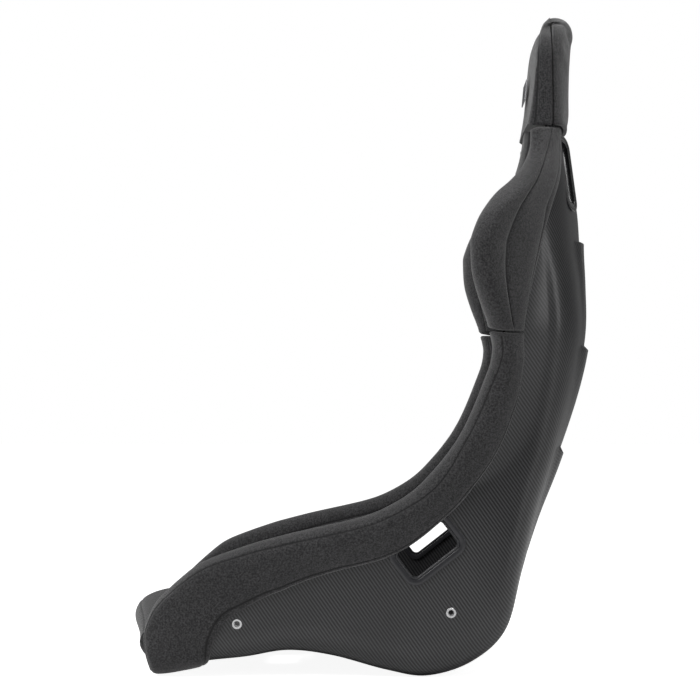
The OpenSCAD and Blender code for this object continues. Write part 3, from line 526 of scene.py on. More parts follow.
def fabric_look(light, dark, knit, depth):
    """Close knit: rows of V stitches, from the sine across the column and a wave that leans with
        the distance from its middle. The tone varies at random with a grain, the stitch crests are painted
        lighter and their hollows darker as shade, the tone drifts slowly, and the drawn-in seams are
        painted dark as the shade in their creases."""
    def build(tree, shader):
        x, y = uv_axes(tree, knit)
        lean = math_node(tree, "ABSOLUTE", math_node(tree, "SUBTRACT", math_node(tree, "FRACT", x), 0.5))
        leaning = math_node(tree, "ADD", y, lean)
        wave = math_node(tree, "SINE", math_node(tree, "MULTIPLY", leaning, math.tau))
        rib = math_node(tree, "SINE", math_node(tree, "MULTIPLY", math_node(tree, "FRACT", x), math.pi))
        height = math_node(tree, "MULTIPLY", math_node(tree, "MULTIPLY_ADD", wave, 0.5, 0.5), rib)
        fuzz = object_noise(tree, FUZZ_SCALE, FUZZ_DETAIL)
        centred = math_node(tree, "SUBTRACT", fuzz, 0.5)
        grain = math_node(tree, "MULTIPLY_ADD", centred, GRAIN_CONTRAST, 0.35)
        # painted shade: the stitch height lightens the crests and darkens the hollows, added to the random
        # grain
        share = math_node(tree, "MULTIPLY_ADD", height, 0.3, grain)
        share = math_node(tree, "MINIMUM", math_node(tree, "MAXIMUM", share, 0.0), 1.0)
        tone = mix_colour(tree, share, dark, light)
        slow = math_node(tree, "MULTIPLY_ADD", object_noise(tree, 14.0), 0.5, -0.1)
        tone = mix_colour(tree, slow, tone, dark)
        seam = tree.nodes.new("ShaderNodeAttribute")
        seam.attribute_name = "seam"
        # painted shade: the drawn-in seams are darkened as the shade in their creases
        tone = mix_colour(tree, seam.outputs["Fac"], tone, SEAM_SHADE_TONE)
        tree.links.new(tone, shader.inputs["Base Color"])
        relief = math_node(tree, "MULTIPLY_ADD", fuzz, 0.6, height)
        bump(tree, shader, relief, depth, 0.7)
        shader.inputs["Roughness"].default_value = 0.86
        shader.inputs["Specular IOR Level"].default_value = 0.25
        shader.inputs["Sheen Weight"].default_value = 0.5
        shader.inputs["Sheen Roughness"].default_value = 0.5
    return build


def shade(tone, share):
    return tuple(share * c for c in tone)


def plastic_look(tone, roughness, coat):
    def build(tree, shader):
        """Moulded plastic with a fine spark-eroded grain."""
        grain = object_noise(tree, 700.0)
        tree.links.new(mix_colour(tree, grain, tone, shade(tone, 0.6)), shader.inputs["Base Color"])
        bump(tree, shader, grain, 0.00003, 0.4)
        shader.inputs["Roughness"].default_value = roughness
        shader.inputs["Coat Weight"].default_value = coat
        shader.inputs["Coat Roughness"].default_value = 0.08
    return build


def metal_look(tone, roughness):
    def build(tree, shader):
        """Turned or brushed metal, with a fine uneven shine."""
        grain = object_noise(tree, 400.0, 4.0)
        tree.links.new(mix_colour(tree, grain, tone, shade(tone, 0.75)), shader.inputs["Base Color"])
        tree.links.new(math_node(tree, "MULTIPLY_ADD", grain, 0.2, roughness), shader.inputs["Roughness"])
        shader.inputs["Metallic"].default_value = 1.0
    return build


LOOKS = {name: material(name, build) for name, build in {
    "laminate": laminate_look,
    "knit_fabric": fabric_look((0.085, 0.083, 0.086), (0.014, 0.014, 0.0148), KNIT, 0.00022),
    "cushion_fabric": fabric_look((0.07, 0.069, 0.072), (0.012, 0.012, 0.0128), CUSHION_KNIT, 0.0003),
    "hook_tape": fabric_look((0.03, 0.03, 0.03), (0.006, 0.006, 0.006), HOOK_PITCH, 0.0006),
    "bezel_plastic": plastic_look((0.036, 0.036, 0.041), 0.3, 0.4),
    "gloss_bezel": plastic_look((0.012, 0.012, 0.013), 0.16, 1.0),
    "insert_metal": metal_look((0.95, 0.95, 0.96), 0.12),
    "plate_metal": metal_look((0.3, 0.3, 0.31), 0.4),
    "badge_metal": metal_look((0.5, 0.5, 0.52), 0.3),
}.items()}


def finished(ob, look, *nodes, fill=None):
    """Gives the piece its material, and hangs it on the frame in place of its CAD nodes."""
    ob.data.materials.clear()
    ob.data.materials.append(LOOKS[look])
    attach(ob, "root")
    if nodes:
        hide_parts(*nodes)
    return ob


def flat_uv(ob, uv):
    """Writes the flat coordinates, one pair for each vertex, to the mesh's corners."""
    me = ob.data
    corner = np.empty(len(me.loops), np.int32)
    me.loops.foreach_get("vertex_index", corner)
    layer = me.uv_layers.new(name="flat")
    layer.data.foreach_set("uv", uv[corner].astype(np.float32).ravel())


# ---------------------------------------------------------------- shell
TWILL_TURN = math.radians(-10)


def shell_flat(u, v):
    """Flat coordinates of the cloth on the shell. A side is laid flat as seen from the side, and
    beyond the corner line the cloth runs on round the corner by the distance along the section."""
    fine = np.linspace(0, 1, 101)
    ref = np.searchsorted(fine, V_ARC)
    pts = skin(u[:, None], fine[None, :])
    step = np.linalg.norm(np.diff(pts, axis=1), axis=2)
    arc = np.concatenate([np.zeros((len(u), 1)), np.cumsum(step, 1)], 1)
    corner, top = pts[:, ref], pts[:, -1]
    down = unit(corner[:, 1:] - top[:, 1:])
    uv = np.empty((len(u), len(v), 2))
    for j, a in enumerate(np.abs(v)):
        here = skin(u, np.full(len(u), a))[:, 1:]
        at = np.array([np.interp(a, fine, row) for row in arc])
        run = np.maximum(arc[:, ref] - at, 0)[:, None]
        uv[:, j] = np.where(a >= V_ARC, here, corner[:, 1:] + down * run)
    c, s = math.cos(TWILL_TURN), math.sin(TWILL_TURN)
    return np.stack([c * uv[..., 0] + s * uv[..., 1], c * uv[..., 1] - s * uv[..., 0]], -1) * MM


def shell_laminate():
    """The laminate as a grid of stations and places across, in two layers a wall apart, with the
    scales' heights added outside, and with the slots and the insert holes cut out."""
    edges = [b + d for _, b in SCALES for d in (0, SCALE_EDGE)]
    u = np.unique(np.concatenate([np.linspace(0, LAST, 205), edges, [a for a, _ in SCALES]]).round(4))
    v = np.concatenate([np.linspace(0, V_FLAT, 25), np.linspace(V_FLAT, V_ARC, 13)[1:],
                        np.linspace(V_ARC, 1, 25)[1:]])
    v = np.concatenate([-v[:0:-1], v])
    uu, vv = np.meshgrid(u, v, indexing="ij")
    base = skin(uu, vv)
    normal = outward(uu, vv)
    outer = base + normal * scale_height(uu, base[..., 0])[..., None]
    inner = base - WALL * normal
    ob = slab("shell_laminate", outer, inner)
    uv = shell_flat(u, v).reshape(-1, 2)
    flat_uv(ob, np.concatenate([uv, uv]))
    grow = 2 * (SLEEVE_T + CLEARANCE)
    cutters = []
    for place, (l, w) in ((LAP_PLACE, LAP_SLOT), (SHOULDER_PLACE, SHOULDER_SLOT)):
        cutters += [cutter(m, l + grow, w + grow, SLOT_ROUND + grow / 2, -30, 30) for m in both(place)]
    for place in INSERT_PLACES:
        cutters += [round_cutter(m, BARREL_R + CLEARANCE, -15, 15) for m in both(place)]
    l, w = CROTCH_SLOT
    cutters.append(cutter(CROTCH_PLACE, l + grow, w + grow, SLOT_ROUND + grow / 2, -30, 30))
    cut(ob, cutters)
    tidy_mesh(ob.data, 40)
    return finished(ob, "laminate", "shell")


# ---------------------------------------------------------------- soft pieces
SPACING, SUB_FRAMES, PRESSURE, CAP = 6.5, 20, 4.0, 3.0
SHELL_US = [*np.arange(18) / 2, 9, 9.3, 9.8, 10.4, 11.14, 11.21, 11.6, 12.2, 12.7, 12.77, 13.2, 13.8,
            14.4, 15.1, 15.17, 15.6, 16, 16.4, 16.8, 17.2, 17.6, 18, 18.6, 19.2, 19.7, 20.2, 20.6, 21]
soft_jobs = []


def between(a, b):
    return np.array([a, *[u for u in SHELL_US if a + 0.05 < u < b - 0.05], b])


def run_lengths(points, axis):
    """Distance along an axis of a grid, from 0, averaged over the other axis."""
    seg = np.linalg.norm(np.diff(points, axis=axis), axis=2).mean(axis=1 - axis)
    return np.concatenate([[0], np.cumsum(np.maximum(seg, 1e-6))])


def resampled(points, dist, at, axis):
    """The grid at other places along an axis: cubic pieces by distance, with the slope at a point
    taken between its neighbours."""
    p = np.moveaxis(points, axis, 0)
    n = np.arange(len(dist))
    lo, hi = np.maximum(n - 1, 0), np.minimum(n + 1, len(dist) - 1)
    slope = (p[hi] - p[lo]) / (dist[hi] - dist[lo])[:, None, None]
    i = np.clip(np.searchsorted(dist, at, side="right") - 1, 0, len(dist) - 2)
    h = (dist[i + 1] - dist[i])[:, None, None]
    t = ((at - dist[i]) / (dist[i + 1] - dist[i]))[:, None, None]
    out = (p[i] * (2 * t**3 - 3 * t**2 + 1) + slope[i] * h * (t**3 - 2 * t**2 + t)
           + p[i + 1] * (3 * t**2 - 2 * t**3) + slope[i + 1] * h * (t**3 - t**2))
    return np.moveaxis(out, 0, axis)


def spread(dist, marks):
    """Even places along a length, with three close together at each mark, a place counted in the
    drawn rows or columns."""
    at = np.linspace(0, dist[-1], max(3, int(dist[-1] / SPACING) + 1))
    where = np.interp(marks, np.arange(len(dist)), dist) if len(marks) else np.zeros(0)
    for m in where:
        at = at[np.abs(at - m) > 3.2]
    on = np.concatenate([[m - 1.6, m, m + 1.6] for m in where]) if len(where) else where
    at = np.sort(np.concatenate([at, on]))
    return at, np.isin(at, where)


def soft(name, look, top, bottom, nodes, rows=(), cols=(), depth=1.8, fill=0.6, cutters=(),
         other=None, slack=1.5):
    """Closed pad between the grid that shows and the grid it lies on. It starts slack millimetres
    thinner, the seams at the marked rows and columns are drawn in by depth, and it is blown up
    later, held at its underside, its edges and its seams."""
    dist_r, dist_c = run_lengths(top, 0), run_lengths(top, 1)
    (at_r, seam_r), (at_c, seam_c) = spread(dist_r, rows), spread(dist_c, cols)
    top = resampled(resampled(top, dist_c, at_c, 1), dist_r, at_r, 0)
    bottom = resampled(resampled(bottom, dist_c, at_c, 1), dist_r, at_r, 0)
    seam = np.maximum(seam_r[:, None], seam_c[None, :]) * 1.0
    seam[0] = seam[-1] = 0
    seam[:, 0] = seam[:, -1] = 0
    rim = np.ones(seam.shape)
    rim[0] = rim[-1] = 0
    rim[:, 0] = rim[:, -1] = 0
    down = bottom - top
    thick = np.linalg.norm(down, axis=2, keepdims=True)
    down = down / np.maximum(thick, 1e-6)
    draw = np.minimum((slack * rim + depth * seam)[..., None], 0.4 * thick)
    ob = slab(name, top + down * draw, bottom)
    flat = np.stack(np.meshgrid(at_c, at_r), -1).reshape(-1, 2) * MM
    flat_uv(ob, np.concatenate([flat, flat]))
    point_value(ob, "seam", np.concatenate([seam.ravel(), np.zeros(seam.size)]))
    free = np.concatenate([(rim * (1 - seam)).ravel(), np.zeros(seam.size)])
    soft_jobs.append((ob, look, nodes, free, fill, list(cutters), other))
    return ob


def blow_up():
    """Cloth under pressure on every pad at once, no farther than the cap from where it started."""
    scene = bpy.context.scene
    for ob, _, _, free, *_ in soft_jobs:
        group = ob.vertex_groups.new(name="held")
        group.add(np.nonzero(free < 0.5)[0].tolist(), 1.0, "REPLACE")
        mod = ob.modifiers.new("cloth", "CLOTH")
        c = mod.settings
        c.quality, c.mass, c.air_damping = 4, 0.25, 2.0
        c.tension_stiffness = c.compression_stiffness = 12
        c.shear_stiffness, c.bending_stiffness = 4, 0.4
        c.use_pressure, c.uniform_pressure_force = True, PRESSURE
        c.vertex_group_mass = "held"
        c.effector_weights.gravity = 0
        mod.collision_settings.use_collision = False
        mod.point_cache.frame_start, mod.point_cache.frame_end = 1, SUB_FRAMES
    for frame_number in range(1, SUB_FRAMES + 1):
        scene.frame_set(frame_number)
    for ob, look, nodes, free, fill, cutters, other in soft_jobs:
        start = coordinates(ob.data)
        evaluated(ob)
        move = coordinates(ob.data) - start
        far = np.linalg.norm(move, axis=1, keepdims=True) / MM
        end = start + move * np.minimum(1, CAP / np.maximum(far, 1e-9))
        ob.data.vertices.foreach_set("co", end.astype(np.float32).ravel())
        ob.vertex_groups.clear()
        mod = ob.modifiers.new("round", "SUBSURF")
        mod.levels = mod.render_levels = 1
        evaluated(ob)
        if cutters:
            cut(ob, cutters)
        tidy_mesh(ob.data, 50)
        if other:
            finished(mirrored(ob, other[0]), look, *other[1], fill=fill)
        finished(ob, look, *nodes, fill=fill)
    scene.frame_set(1)


def roll_grids(rows, full, shares, crests):
    """The roll's outside and underside: from the hem on the outside of the shell, over its edge, to
    the hem on the inside. A row is edge station, edge place, hem station, hem place."""
    rows, k, share, crest = (np.asarray(a, float) for a in (rows, full, shares, crests))

    def uv(s):
        return lerp(rows[:, 0], rows[:, 2], s), lerp(rows[:, 1], rows[:, 3], s)

    def out_at(s, h):
        return above(*uv(s), GAP + h)

    def in_at(s, h):
        return inside(*uv(s), GAP + h)

    e, n = skin(rows[:, 0], rows[:, 1]), outward(rows[:, 0], rows[:, 1])
    d = unit(e - skin(*uv(0.1)))

    def past(a, h):
        return e + d * np.broadcast_to(a, k.shape)[:, None] + n * np.broadcast_to(h, k.shape)[:, None]

    top = [out_at(1, HEM), out_at(0.9, k * ROLL_OUTER * 0.8), out_at(0.5, k * ROLL_OUTER),
           out_at(0.12, k * ROLL_OUTER), past(crest * 0.62, k * ROLL_OUTER * 0.78),
           past(crest, k * (ROLL_OUTER - ROLL_INNER) / 2 - WALL / 2),
           past(crest * 0.62, -k * ROLL_INNER * 0.78 - WALL),
           in_at(0.12 * share, k * ROLL_INNER), in_at(0.5 * share, k * ROLL_INNER * 0.9),
           in_at(0.85 * share, k * ROLL_INNER * 0.6), in_at(share, HEM)]
    under = [out_at(1, 0), out_at(0.9, 0), out_at(0.5, 0), out_at(0.12, 0), past(GAP, GAP),
             past(GAP, -WALL / 2), past(GAP, -WALL - GAP), in_at(0.12 * share, 0),
             in_at(0.5 * share, 0), in_at(0.85 * share, 0), in_at(share, 0)]
    return np.stack(top, 1), np.stack(under, 1)


def nose_row(u, v, w, f):
    return [u, v, w, f if w < 1.2 else float(v_at(w, f))]


WING_CREST = [(13, 1), (16.4, 1), (17, 0.82), (17.25, 0.82), (17.5, 1.07), (17.7, 1.45),
              (17.9, 1.68), (18.1, 1.78)]
NOSE_ROWS = [nose_row(*r) for r in (
    (0, 0.46, 0.95, 0.46), (0, 0.5, 1, 0.48), (0, 0.55, 1.06, 0.505), (0, 0.6, 1.12, 0.53),
    (0, 0.64, 1.18, 0.56), (0, 0.74, 1.26, 0.22), (0, 0.86, 1.42, 0.33), (0, 0.95, 1.58, 0.42),
    (0.12, 1, 1.74, 0.46), (0.5, 1, 1.96, 0.5), (1, 1, 2.22, 0.545), (1.5, 1, 2.5, 0.58))]


def slot_room(place, slot, flange):
    l, w = slot[0] + 2 * (flange + 1), slot[1] + 2 * (flange + 1)
    return cutter(place, l, w, SLOT_ROUND + 0.6 * flange + 1, -60, FLANGE_T + 3 * CLEARANCE)


def edge_rolls():
    us = between(2.2, 12.98)
    w = us + np.maximum(0, 0.55 * (4.2 - us) / 2)
    rows = np.concatenate([NOSE_ROWS, np.stack([us, np.ones(len(us)), w, v_at(w, keyed(HEM_EDGE, w))], 1)])
    full = np.minimum(1, 0.8 + 0.03 * np.arange(len(rows)))
    top, under = roll_grids(rows, full, np.full(len(rows), 0.85), full * ROLL_CREST)
    soft("thigh_bolster_pad_left", "knit_fabric", top, under, ["thigh_bolster_left"],
         cols=(0.95, 4.25, 7.6), cutters=[slot_room(LAP_PLACE, LAP_SLOT, LAP_FLANGE)],
         other=("thigh_bolster_pad_right", ["thigh_bolster_right"]))
    end = 18.03
    us = between(13.03, end)
    rows = np.stack([us, np.ones(len(us)), us, v_at(us, keyed(HEM_EDGE, us))], 1)
    top, under = roll_grids(rows, np.clip(0.46 + (end - us) / 3, 0.62, 1), np.where(us < 15.9, 0.8, 0.35),
                            ROLL_CREST * keyed(WING_CREST, us))
    soft("shoulder_wing_pad_left", "knit_fabric", top, under, ["shoulder_wing_left"],
         cols=(0.8, 2.62, 7.6), depth=2.6, other=("shoulder_wing_pad_right", ["shoulder_wing_right"]))


def front_roll_pad():
    v = 0.41 * np.linspace(-1, 1, 15)
    zero = np.zeros(len(v))
    e, n = skin(zero, v), outward(zero, v)
    d = unit(e - skin(zero + 0.1, v))

    def edge(a, h):
        return e + d * a + n * h

    top = [above(0.75, v, GAP + HEM), above(0.55, v, GAP + 7), above(0.1, v, GAP + 8), edge(9, 5),
           edge(20, -9), edge(24, -26), edge(13, -44), inside(0.2, v, 52), inside(0.6, v, 54),
           inside(1, v, 46), inside(1.36, v, 34)]
    under = [above(0.75, v, GAP), above(0.55, v, GAP), above(0.1, v, GAP), edge(GAP, GAP),
             edge(GAP, -WALL / 3), edge(GAP, -WALL * 2 / 3), edge(GAP, -WALL - GAP),
             inside(0.2, v, GAP), inside(0.6, v, GAP), inside(1, v, GAP), inside(1.36, v, GAP)]
    soft("front_roll_pad", "knit_fabric", np.stack(top, 1), np.stack(under, 1), ["front_roll"], cols=(5.9,))


def swell(s):
    return np.sqrt(np.maximum(1 - s**4, 0))


def cushion(name, a, b, thick, nodes, rows, cols, cutters=()):
    """Loose cushion on the inner surface, eight millimetres thick at its edges and full inside."""
    us, half, edge, lift = between(a, b), V_FLAT, 8, STRIP_T + 2 * GAP
    uu, vv = np.meshgrid(us, half * np.linspace(-1, 1, 13), indexing="ij")
    along = np.abs(2 * (uu - a) / (b - a) - 1)
    height = lift + edge + (thick - edge) * swell(along) * swell(np.abs(vv) / half)
    soft(name, "cushion_fabric", inside(uu, vv, height), inside(uu, vv, lift), nodes, rows=rows, cols=cols,
         depth=3.5, cutters=cutters)


def cushions():
    cushion("seat_cushion_pad", 1.45, 6.7, 46, ["seat_cushion"], (3.9, 7.2), (2.4, 9.6),
            [slot_room(CROTCH_PLACE, CROTCH_SLOT, CROTCH_FLANGE - 2)])
    cushion("lumbar_cushion_pad", 8.4, 11.9, 28, ["lumbar_cushion"], (4,), (2.4, 9.6))
    cushion("back_cushion_pad", 12, 15.9, 24, ["back_cushion"], (4,), (2.4, 9.6))
    for name, a, b in (("seat_cushion_strip", 4, 6), ("lumbar_cushion_strip", 9, 11.4)):
        uu, vv = np.meshgrid(between(a, b), 0.06 * np.linspace(-4, 4, 9), indexing="ij")
        soft(name + "_tape", "hook_tape", inside(uu, vv, GAP + STRIP_T), inside(uu, vv, GAP), [name],
             slack=0.1, fill=None)


def liner(name, node, a, b, low, cutters=()):
    us = between(a, b)
    high = 1 - 0.85 * (1 - keyed(HEM_EDGE, us)) - 0.07
    v = np.stack([v_at(us, lerp(low, high, k)) for k in np.linspace(0, 1, 5)], 1)
    uu = np.repeat(us[:, None], 5, 1)
    height = np.array([4.0, LINER_T, LINER_T, LINER_T, 4])
    soft(name + "_left", "knit_fabric", inside(uu, v, GAP + height), inside(uu, v, GAP), [node + "_left"],
         cutters=cutters, other=(name + "_right", [node + "_right"]))


def liners():
    liner("torso_liner_pad", "torso_liner", 9.6, 12.9, 0.42)
    run, rise = PLATE_SPAN
    slope = math.degrees(math.atan2(rise, run))
    bar = moved(HIP_WIDTH / 2 - WALL - PLATE_T - 2, *PLATE_MIDDLE) @ turned(0, slope)
    bar = bar @ turned(2, 90) @ turned(0, 90)
    length = math.hypot(run, rise) + 2 * PLATE_END + 3
    room = cutter(bar, length, PLATE_H + 3, PLATE_H / 2 + 1, 0, LINER_T)
    holes = [round_cutter(m, COLLAR_R + 1.5, -40, 10) for m in INSERT_PLACES]
    liner("hip_liner_pad", "hip_liner", 2.2, 5.2, 0.32, [room, *holes])


HEAD_TOP, HEAD_TOP_HALF, SEAM_V, COVER_T, HEAD_CUSHION_T = 22, HEAD_WIDTH / 2 - 52, 0.76, 7, 28
COVER_LIFT, CUSHION_LIFT, SIDE_GAP, SEAM_TURN = 2.4, 1.8, 2.2, 60
APEX_Y, HEAD_START = 282, 18.08
HEAD_FRONT = [(17, 0.57), (18, 0.98), (19, 0.75), (20, 0.62), (20.5, 0.49), (21, 0.22)]
COVER_BULGE = [(18, 0), (20, 0.5), (20.6, 3), (21, 4.5)]
SEAM_Y = float(skin(LAST, SEAM_V)[1])
SIN_SEAM = math.sin(math.radians(SEAM_TURN))


def head_front(u):
    return keyed(RY, u) - HEAD_CUSHION_T * keyed(HEAD_FRONT, u)


def dome(x):
    return HEAD_TOP * (1 - 0.7 * np.minimum(1.4, (x / HEAD_TOP_HALF) ** 2))


def head_pads():
    """Rear cover and front cushion. Above the shell's top edge both are domed, and they meet in a
    seam at sixty degrees up the dome."""
    us = between(HEAD_START, LAST)
    top_z = float(keyed(RZ, LAST))

    def dome_row(row, lift, turn):
        y = lerp(APEX_Y, row[:, 1], abs(math.cos(math.radians(turn))))
        return np.stack([row[:, 0], y, top_z + lift + dome(row[:, 0]) * math.sin(math.radians(turn))], 1)

    def seam_row(row, over, lift, y, share):
        z = top_z + lift + dome(over[:, 0]) * SIN_SEAM * share
        return np.stack([row[:, 0], np.full(len(row), y), z], 1)

    def past_top(row, lift):
        return np.stack([row[:, 0], row[:, 1], np.full(len(row), top_z + lift)], 1)

    v = np.array([0.1, 0.29, 0.46, 0.5, 0.55, 0.6, 0.64, SEAM_V])
    v = np.concatenate([-v[::-1], v])
    uu, vv = np.meshgrid(us, v, indexing="ij")
    out = above(uu, vv, (GAP + COVER_T + keyed(COVER_BULGE, us))[:, None])
    out[..., 2] = np.minimum(out[..., 2], top_z + COVER_LIFT - 0.5)
    under = above(uu, vv, GAP)
    crest = dome_row(out[-1], COVER_LIFT, SEAM_TURN)
    crest[:, 1] = SEAM_Y + CLEARANCE
    top = [*out, past_top(out[-1], COVER_LIFT),
           *[dome_row(out[-1], COVER_LIFT, t) for t in (170, 145, 118, 90)], crest]
    low = [*under, past_top(under[-1], COVER_LIFT),
           *[seam_row(under[-1], out[-1], COVER_LIFT, SEAM_Y + CLEARANCE, s)
             for s in (0.05, 0.25, 0.5, 0.75, 0.95)]]
    soft("head_rear_cover_pad", "knit_fabric", np.stack(top), np.stack(low), ["head_rear_cover"], slack=0.8)

    side_v, skin_h, curve = SEAM_V + 0.05, GAP + COVER_T, 6

    def rim(u, side, along, h):
        e = skin(u, side)
        return e + unit(e - skin(u, 0.96 * side)) * along + outward(u, side) * h

    def front_row(u):
        y, z = float(head_front(u)), float(keyed(RZ, u))
        s, o = rim(u, 1, 0, skin_h), above(u, side_v, skin_h)
        half = s[0]
        right = [(half - curve, lerp(s[1], y, 0.9)), (half - 1, lerp(s[1], y, 0.55)),
                 (half, s[1]), (o[0], o[1])]
        middle = [(k * (half - 3 * curve) / 4, y - 2 + 2 * (k / 4) ** 2) for k in range(-4, 5)]
        return np.array([(x, yy, z) for x, yy in [(-a, b) for a, b in right[::-1]] + middle + right])

    back_vs = (-0.98, -0.82, -0.6, -0.46, -0.2, 0, 0.2, 0.46, 0.6, 0.82, 0.98)

    def back_row(u):
        ends = [[rim(u, side, GAP, -WALL - GAP), rim(u, side, GAP, SIDE_GAP),
                 above(u, side * side_v, SIDE_GAP)] for side in (-1, 1)]
        return np.array([*ends[0][::-1], *[inside(u, b, GAP) for b in back_vs], *ends[1]])

    front, back = [front_row(u) for u in us], [back_row(u) for u in us]
    crest = dome_row(front[-1], CUSHION_LIFT, SEAM_TURN)
    crest[:, 1] = SEAM_Y - CLEARANCE
    top = [*front, past_top(front[-1], CUSHION_LIFT),
           *[dome_row(front[-1], CUSHION_LIFT, t) for t in (10, 26, 43)], crest]
    low = [*back, past_top(back[-1], CUSHION_LIFT),
           *[seam_row(back[-1], front[-1], CUSHION_LIFT, SEAM_Y - CLEARANCE, s)
             for s in (0.05, 0.33, 0.66, 0.95)]]
    soft("head_cushion_pad", "cushion_fabric", np.stack(top), np.stack(low), ["head_cushion"],
         cols=(2.4, 13.6), slack=0.8)
    tv = 0.05 * np.linspace(-4, 4, 9)
    uu, vv = np.meshgrid([17.1, 17.5, 17.9, 18.3, 18.6], tv, indexing="ij")
    low = inside(uu, vv, GAP + 1)
    top = low.copy()
    top[..., 1] = head_front(uu) - 0.6 + 9 * (np.abs(vv) / 0.2) ** 4
    soft("head_cushion_tongue", "cushion_fabric", top, low, ["head_cushion"])


# ---------------------------------------------------------------- fittings
def skin_height(place, xy):
    """Height of the shell's outer surface over the place's plane, under each of the points, from
    the nearest point of a dense grid of it."""
    back = np.linalg.inv(place)
    shoulder = place[0, 3] > 1
    us, vs = ((15.6, 18.6), (0.12, 0.74)) if shoulder else ((1.5, 4), (-0.35, 0.35))
    uu, vv = np.meshgrid(np.linspace(*us, 260), np.linspace(*vs, 260), indexing="ij")
    grid = placed(skin(uu, vv).reshape(-1, 3), back)
    return np.array([grid[np.argmin((grid[:, 0] - x) ** 2 + (grid[:, 1] - y) ** 2), 2] for x, y in xy])


def bezel(name, place, slot, flange, stand, look, node, follow):
    """Moulded bezel: a domed flange with a bead and a groove round its throat, and a sleeve through
    the shell. Where the shell is curved the flange's underside follows it."""
    path, normal = rounded(slot[0], slot[1], SLOT_ROUND, 10)
    deep = WALL + stand + FLANGE_T + 1
    n, top = len(path), CLEARANCE + FLANGE_T if not follow else FLANGE_T
    if follow:
        outs = (SLEEVE_T, 0.6 * flange, flange)
        rest = np.stack([skin_height(place, path + normal * out) for out in outs], 1) + 1.1
    else:
        rest = np.full((n, 3), CLEARANCE)
    low = np.minimum(rest[:, 2], top - 1.6)
    sleeve = np.minimum(rest[:, 0], top - 2)
    prof = [(0.0, -deep), (SLEEVE_T, -deep), (SLEEVE_T, sleeve - 0.2), (SLEEVE_T + 0.4, sleeve),
            (0.6 * flange, np.minimum(rest[:, 1], top - 1.8)), (flange - 0.5, low),
            (flange, low + 0.5), (flange, lerp(low, top, 0.55)), (flange - 0.6, top - 0.7),
            (flange - 1.8, top - 0.15), (flange - 3.2, top), (4.9, top - 0.3), (4.2, top - 0.5),
            (3.7, top - 1.3), (3.3, top - 1.3), (2.8, top - 0.4), (2.2, top), (1.1, top),
            (0.3, top - 0.6), (0.0, top - 1.6)]
    loop = [np.stack([np.full(n, a), np.broadcast_to(b, n)], 1) for a, b in prof]
    profile = np.stack(loop, 1).astype(float)
    ob = ring(name + "_left" if node.endswith("_left") else name, path, normal, profile, place)
    mod = ob.modifiers.new("round", "SUBSURF")
    mod.levels = mod.render_levels = 1
    evaluated(ob)
    tidy_mesh(ob.data, 60)
    if node.endswith("_left"):
        finished(mirrored(ob, name + "_right"), look, node.replace("_left", "_right"))
    finished(ob, look, node)


def insert(place, row):
    """Threaded insert turned from bar: tapped hole with a chamfered mouth, barrel, inner flange."""
    turn = np.linspace(0, math.tau, 96, endpoint=False)
    normal = np.stack([np.cos(turn), np.sin(turn)], 1)
    wall, end, collar = BARREL_R - BORE_R, INSERT_END, COLLAR_R - BORE_R
    threads = [p for k in range(9) for p in ((0.0, -11.4 + 1.25 * k), (0.42, -10.78 + 1.25 * k))]
    prof = [(0.8, INSERT_PROUD), (wall - 0.5, INSERT_PROUD), (wall, INSERT_PROUD - 0.5),
            (wall, end + COLLAR_T), (collar - 0.4, end + COLLAR_T),
            (collar, end + 2.1), (collar, end + 0.4), (collar - 0.4, end), (0.8, end), *threads]
    ob = ring(f"insert_{row}_turned_left", BORE_R * normal, normal, prof, place)
    tidy_mesh(ob.data, 35)
    finished(mirrored(ob, f"insert_{row}_turned_right"), "insert_metal", f"side_insert_{row}_right")
    finished(ob, "insert_metal", f"side_insert_{row}_left")


def moulded(node, look, radius):
    """The CAD piece with its doubles merged and its edges rounded."""
    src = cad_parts[node]
    ob = bpy.data.objects.new(node + "_moulded", src.data.copy())
    bpy.context.scene.collection.objects.link(ob)
    tidy_mesh(ob.data)
    mod = ob.modifiers.new("edges", "BEVEL")
    mod.width, mod.segments, mod.limit_method, mod.angle_limit = radius * MM, 3, "ANGLE", math.radians(38)
    mod.use_clamp_overlap = True
    evaluated(ob)
    tidy_mesh(ob.data, 32)
    finished(ob, look, node)


BADGE_L, BADGE_W, BADGE_STATION = 96, 30, 18.95


def badge():
    """Plate with rounded corners and a raised rim, and two chevrons raised on it."""
    l, w = BADGE_L, BADGE_W
    x, z = np.linspace(-1, 1, 161), np.linspace(-1, 1, 61)
    xx, zz = np.meshgrid(x * l / 2, z * w / 2, indexing="ij")
    pull = 1 - 0.035 * smooth(0.9, 1, np.abs(zz) / (w / 2))
    xx = xx * pull
    edge = np.minimum(l / 2 - np.abs(xx), w / 2 - np.abs(zz))
    rim = smooth(0, 0.6, edge) * (1 - smooth(1.8, 2.4, edge))
    lean = np.abs(zz) * 0.8
    mark = sum(smooth(-0.4, 0.4, 3 - np.abs(np.abs(xx) - lean - c)) for c in (10, 22))
    mark = mark * (1 - smooth(8, 9, np.abs(zz)))
    height = 0.9 + 0.6 * np.maximum(rim, np.clip(mark, 0, 1)) - 0.7 * (1 - smooth(0, 0.5, edge))
    at = BADGE_STATION + np.array([-0.3, 0, 0.3])
    y, z = head_front(at), keyed(RZ, at)
    turn = math.degrees(math.atan2(y[2] - y[0], z[2] - z[0]))
    place = moved(0, y[1] - 2 - CLEARANCE, z[1]) @ turned(0, -turn)
    front = placed(np.stack([xx, -height, zz], -1), place)
    back = placed(np.stack([xx, np.full(xx.shape, -0.05), zz], -1), place)
    ob = slab("head_badge_plate", front, back)
    tidy_mesh(ob.data, 40)
    finished(ob, "badge_metal", "head_badge")


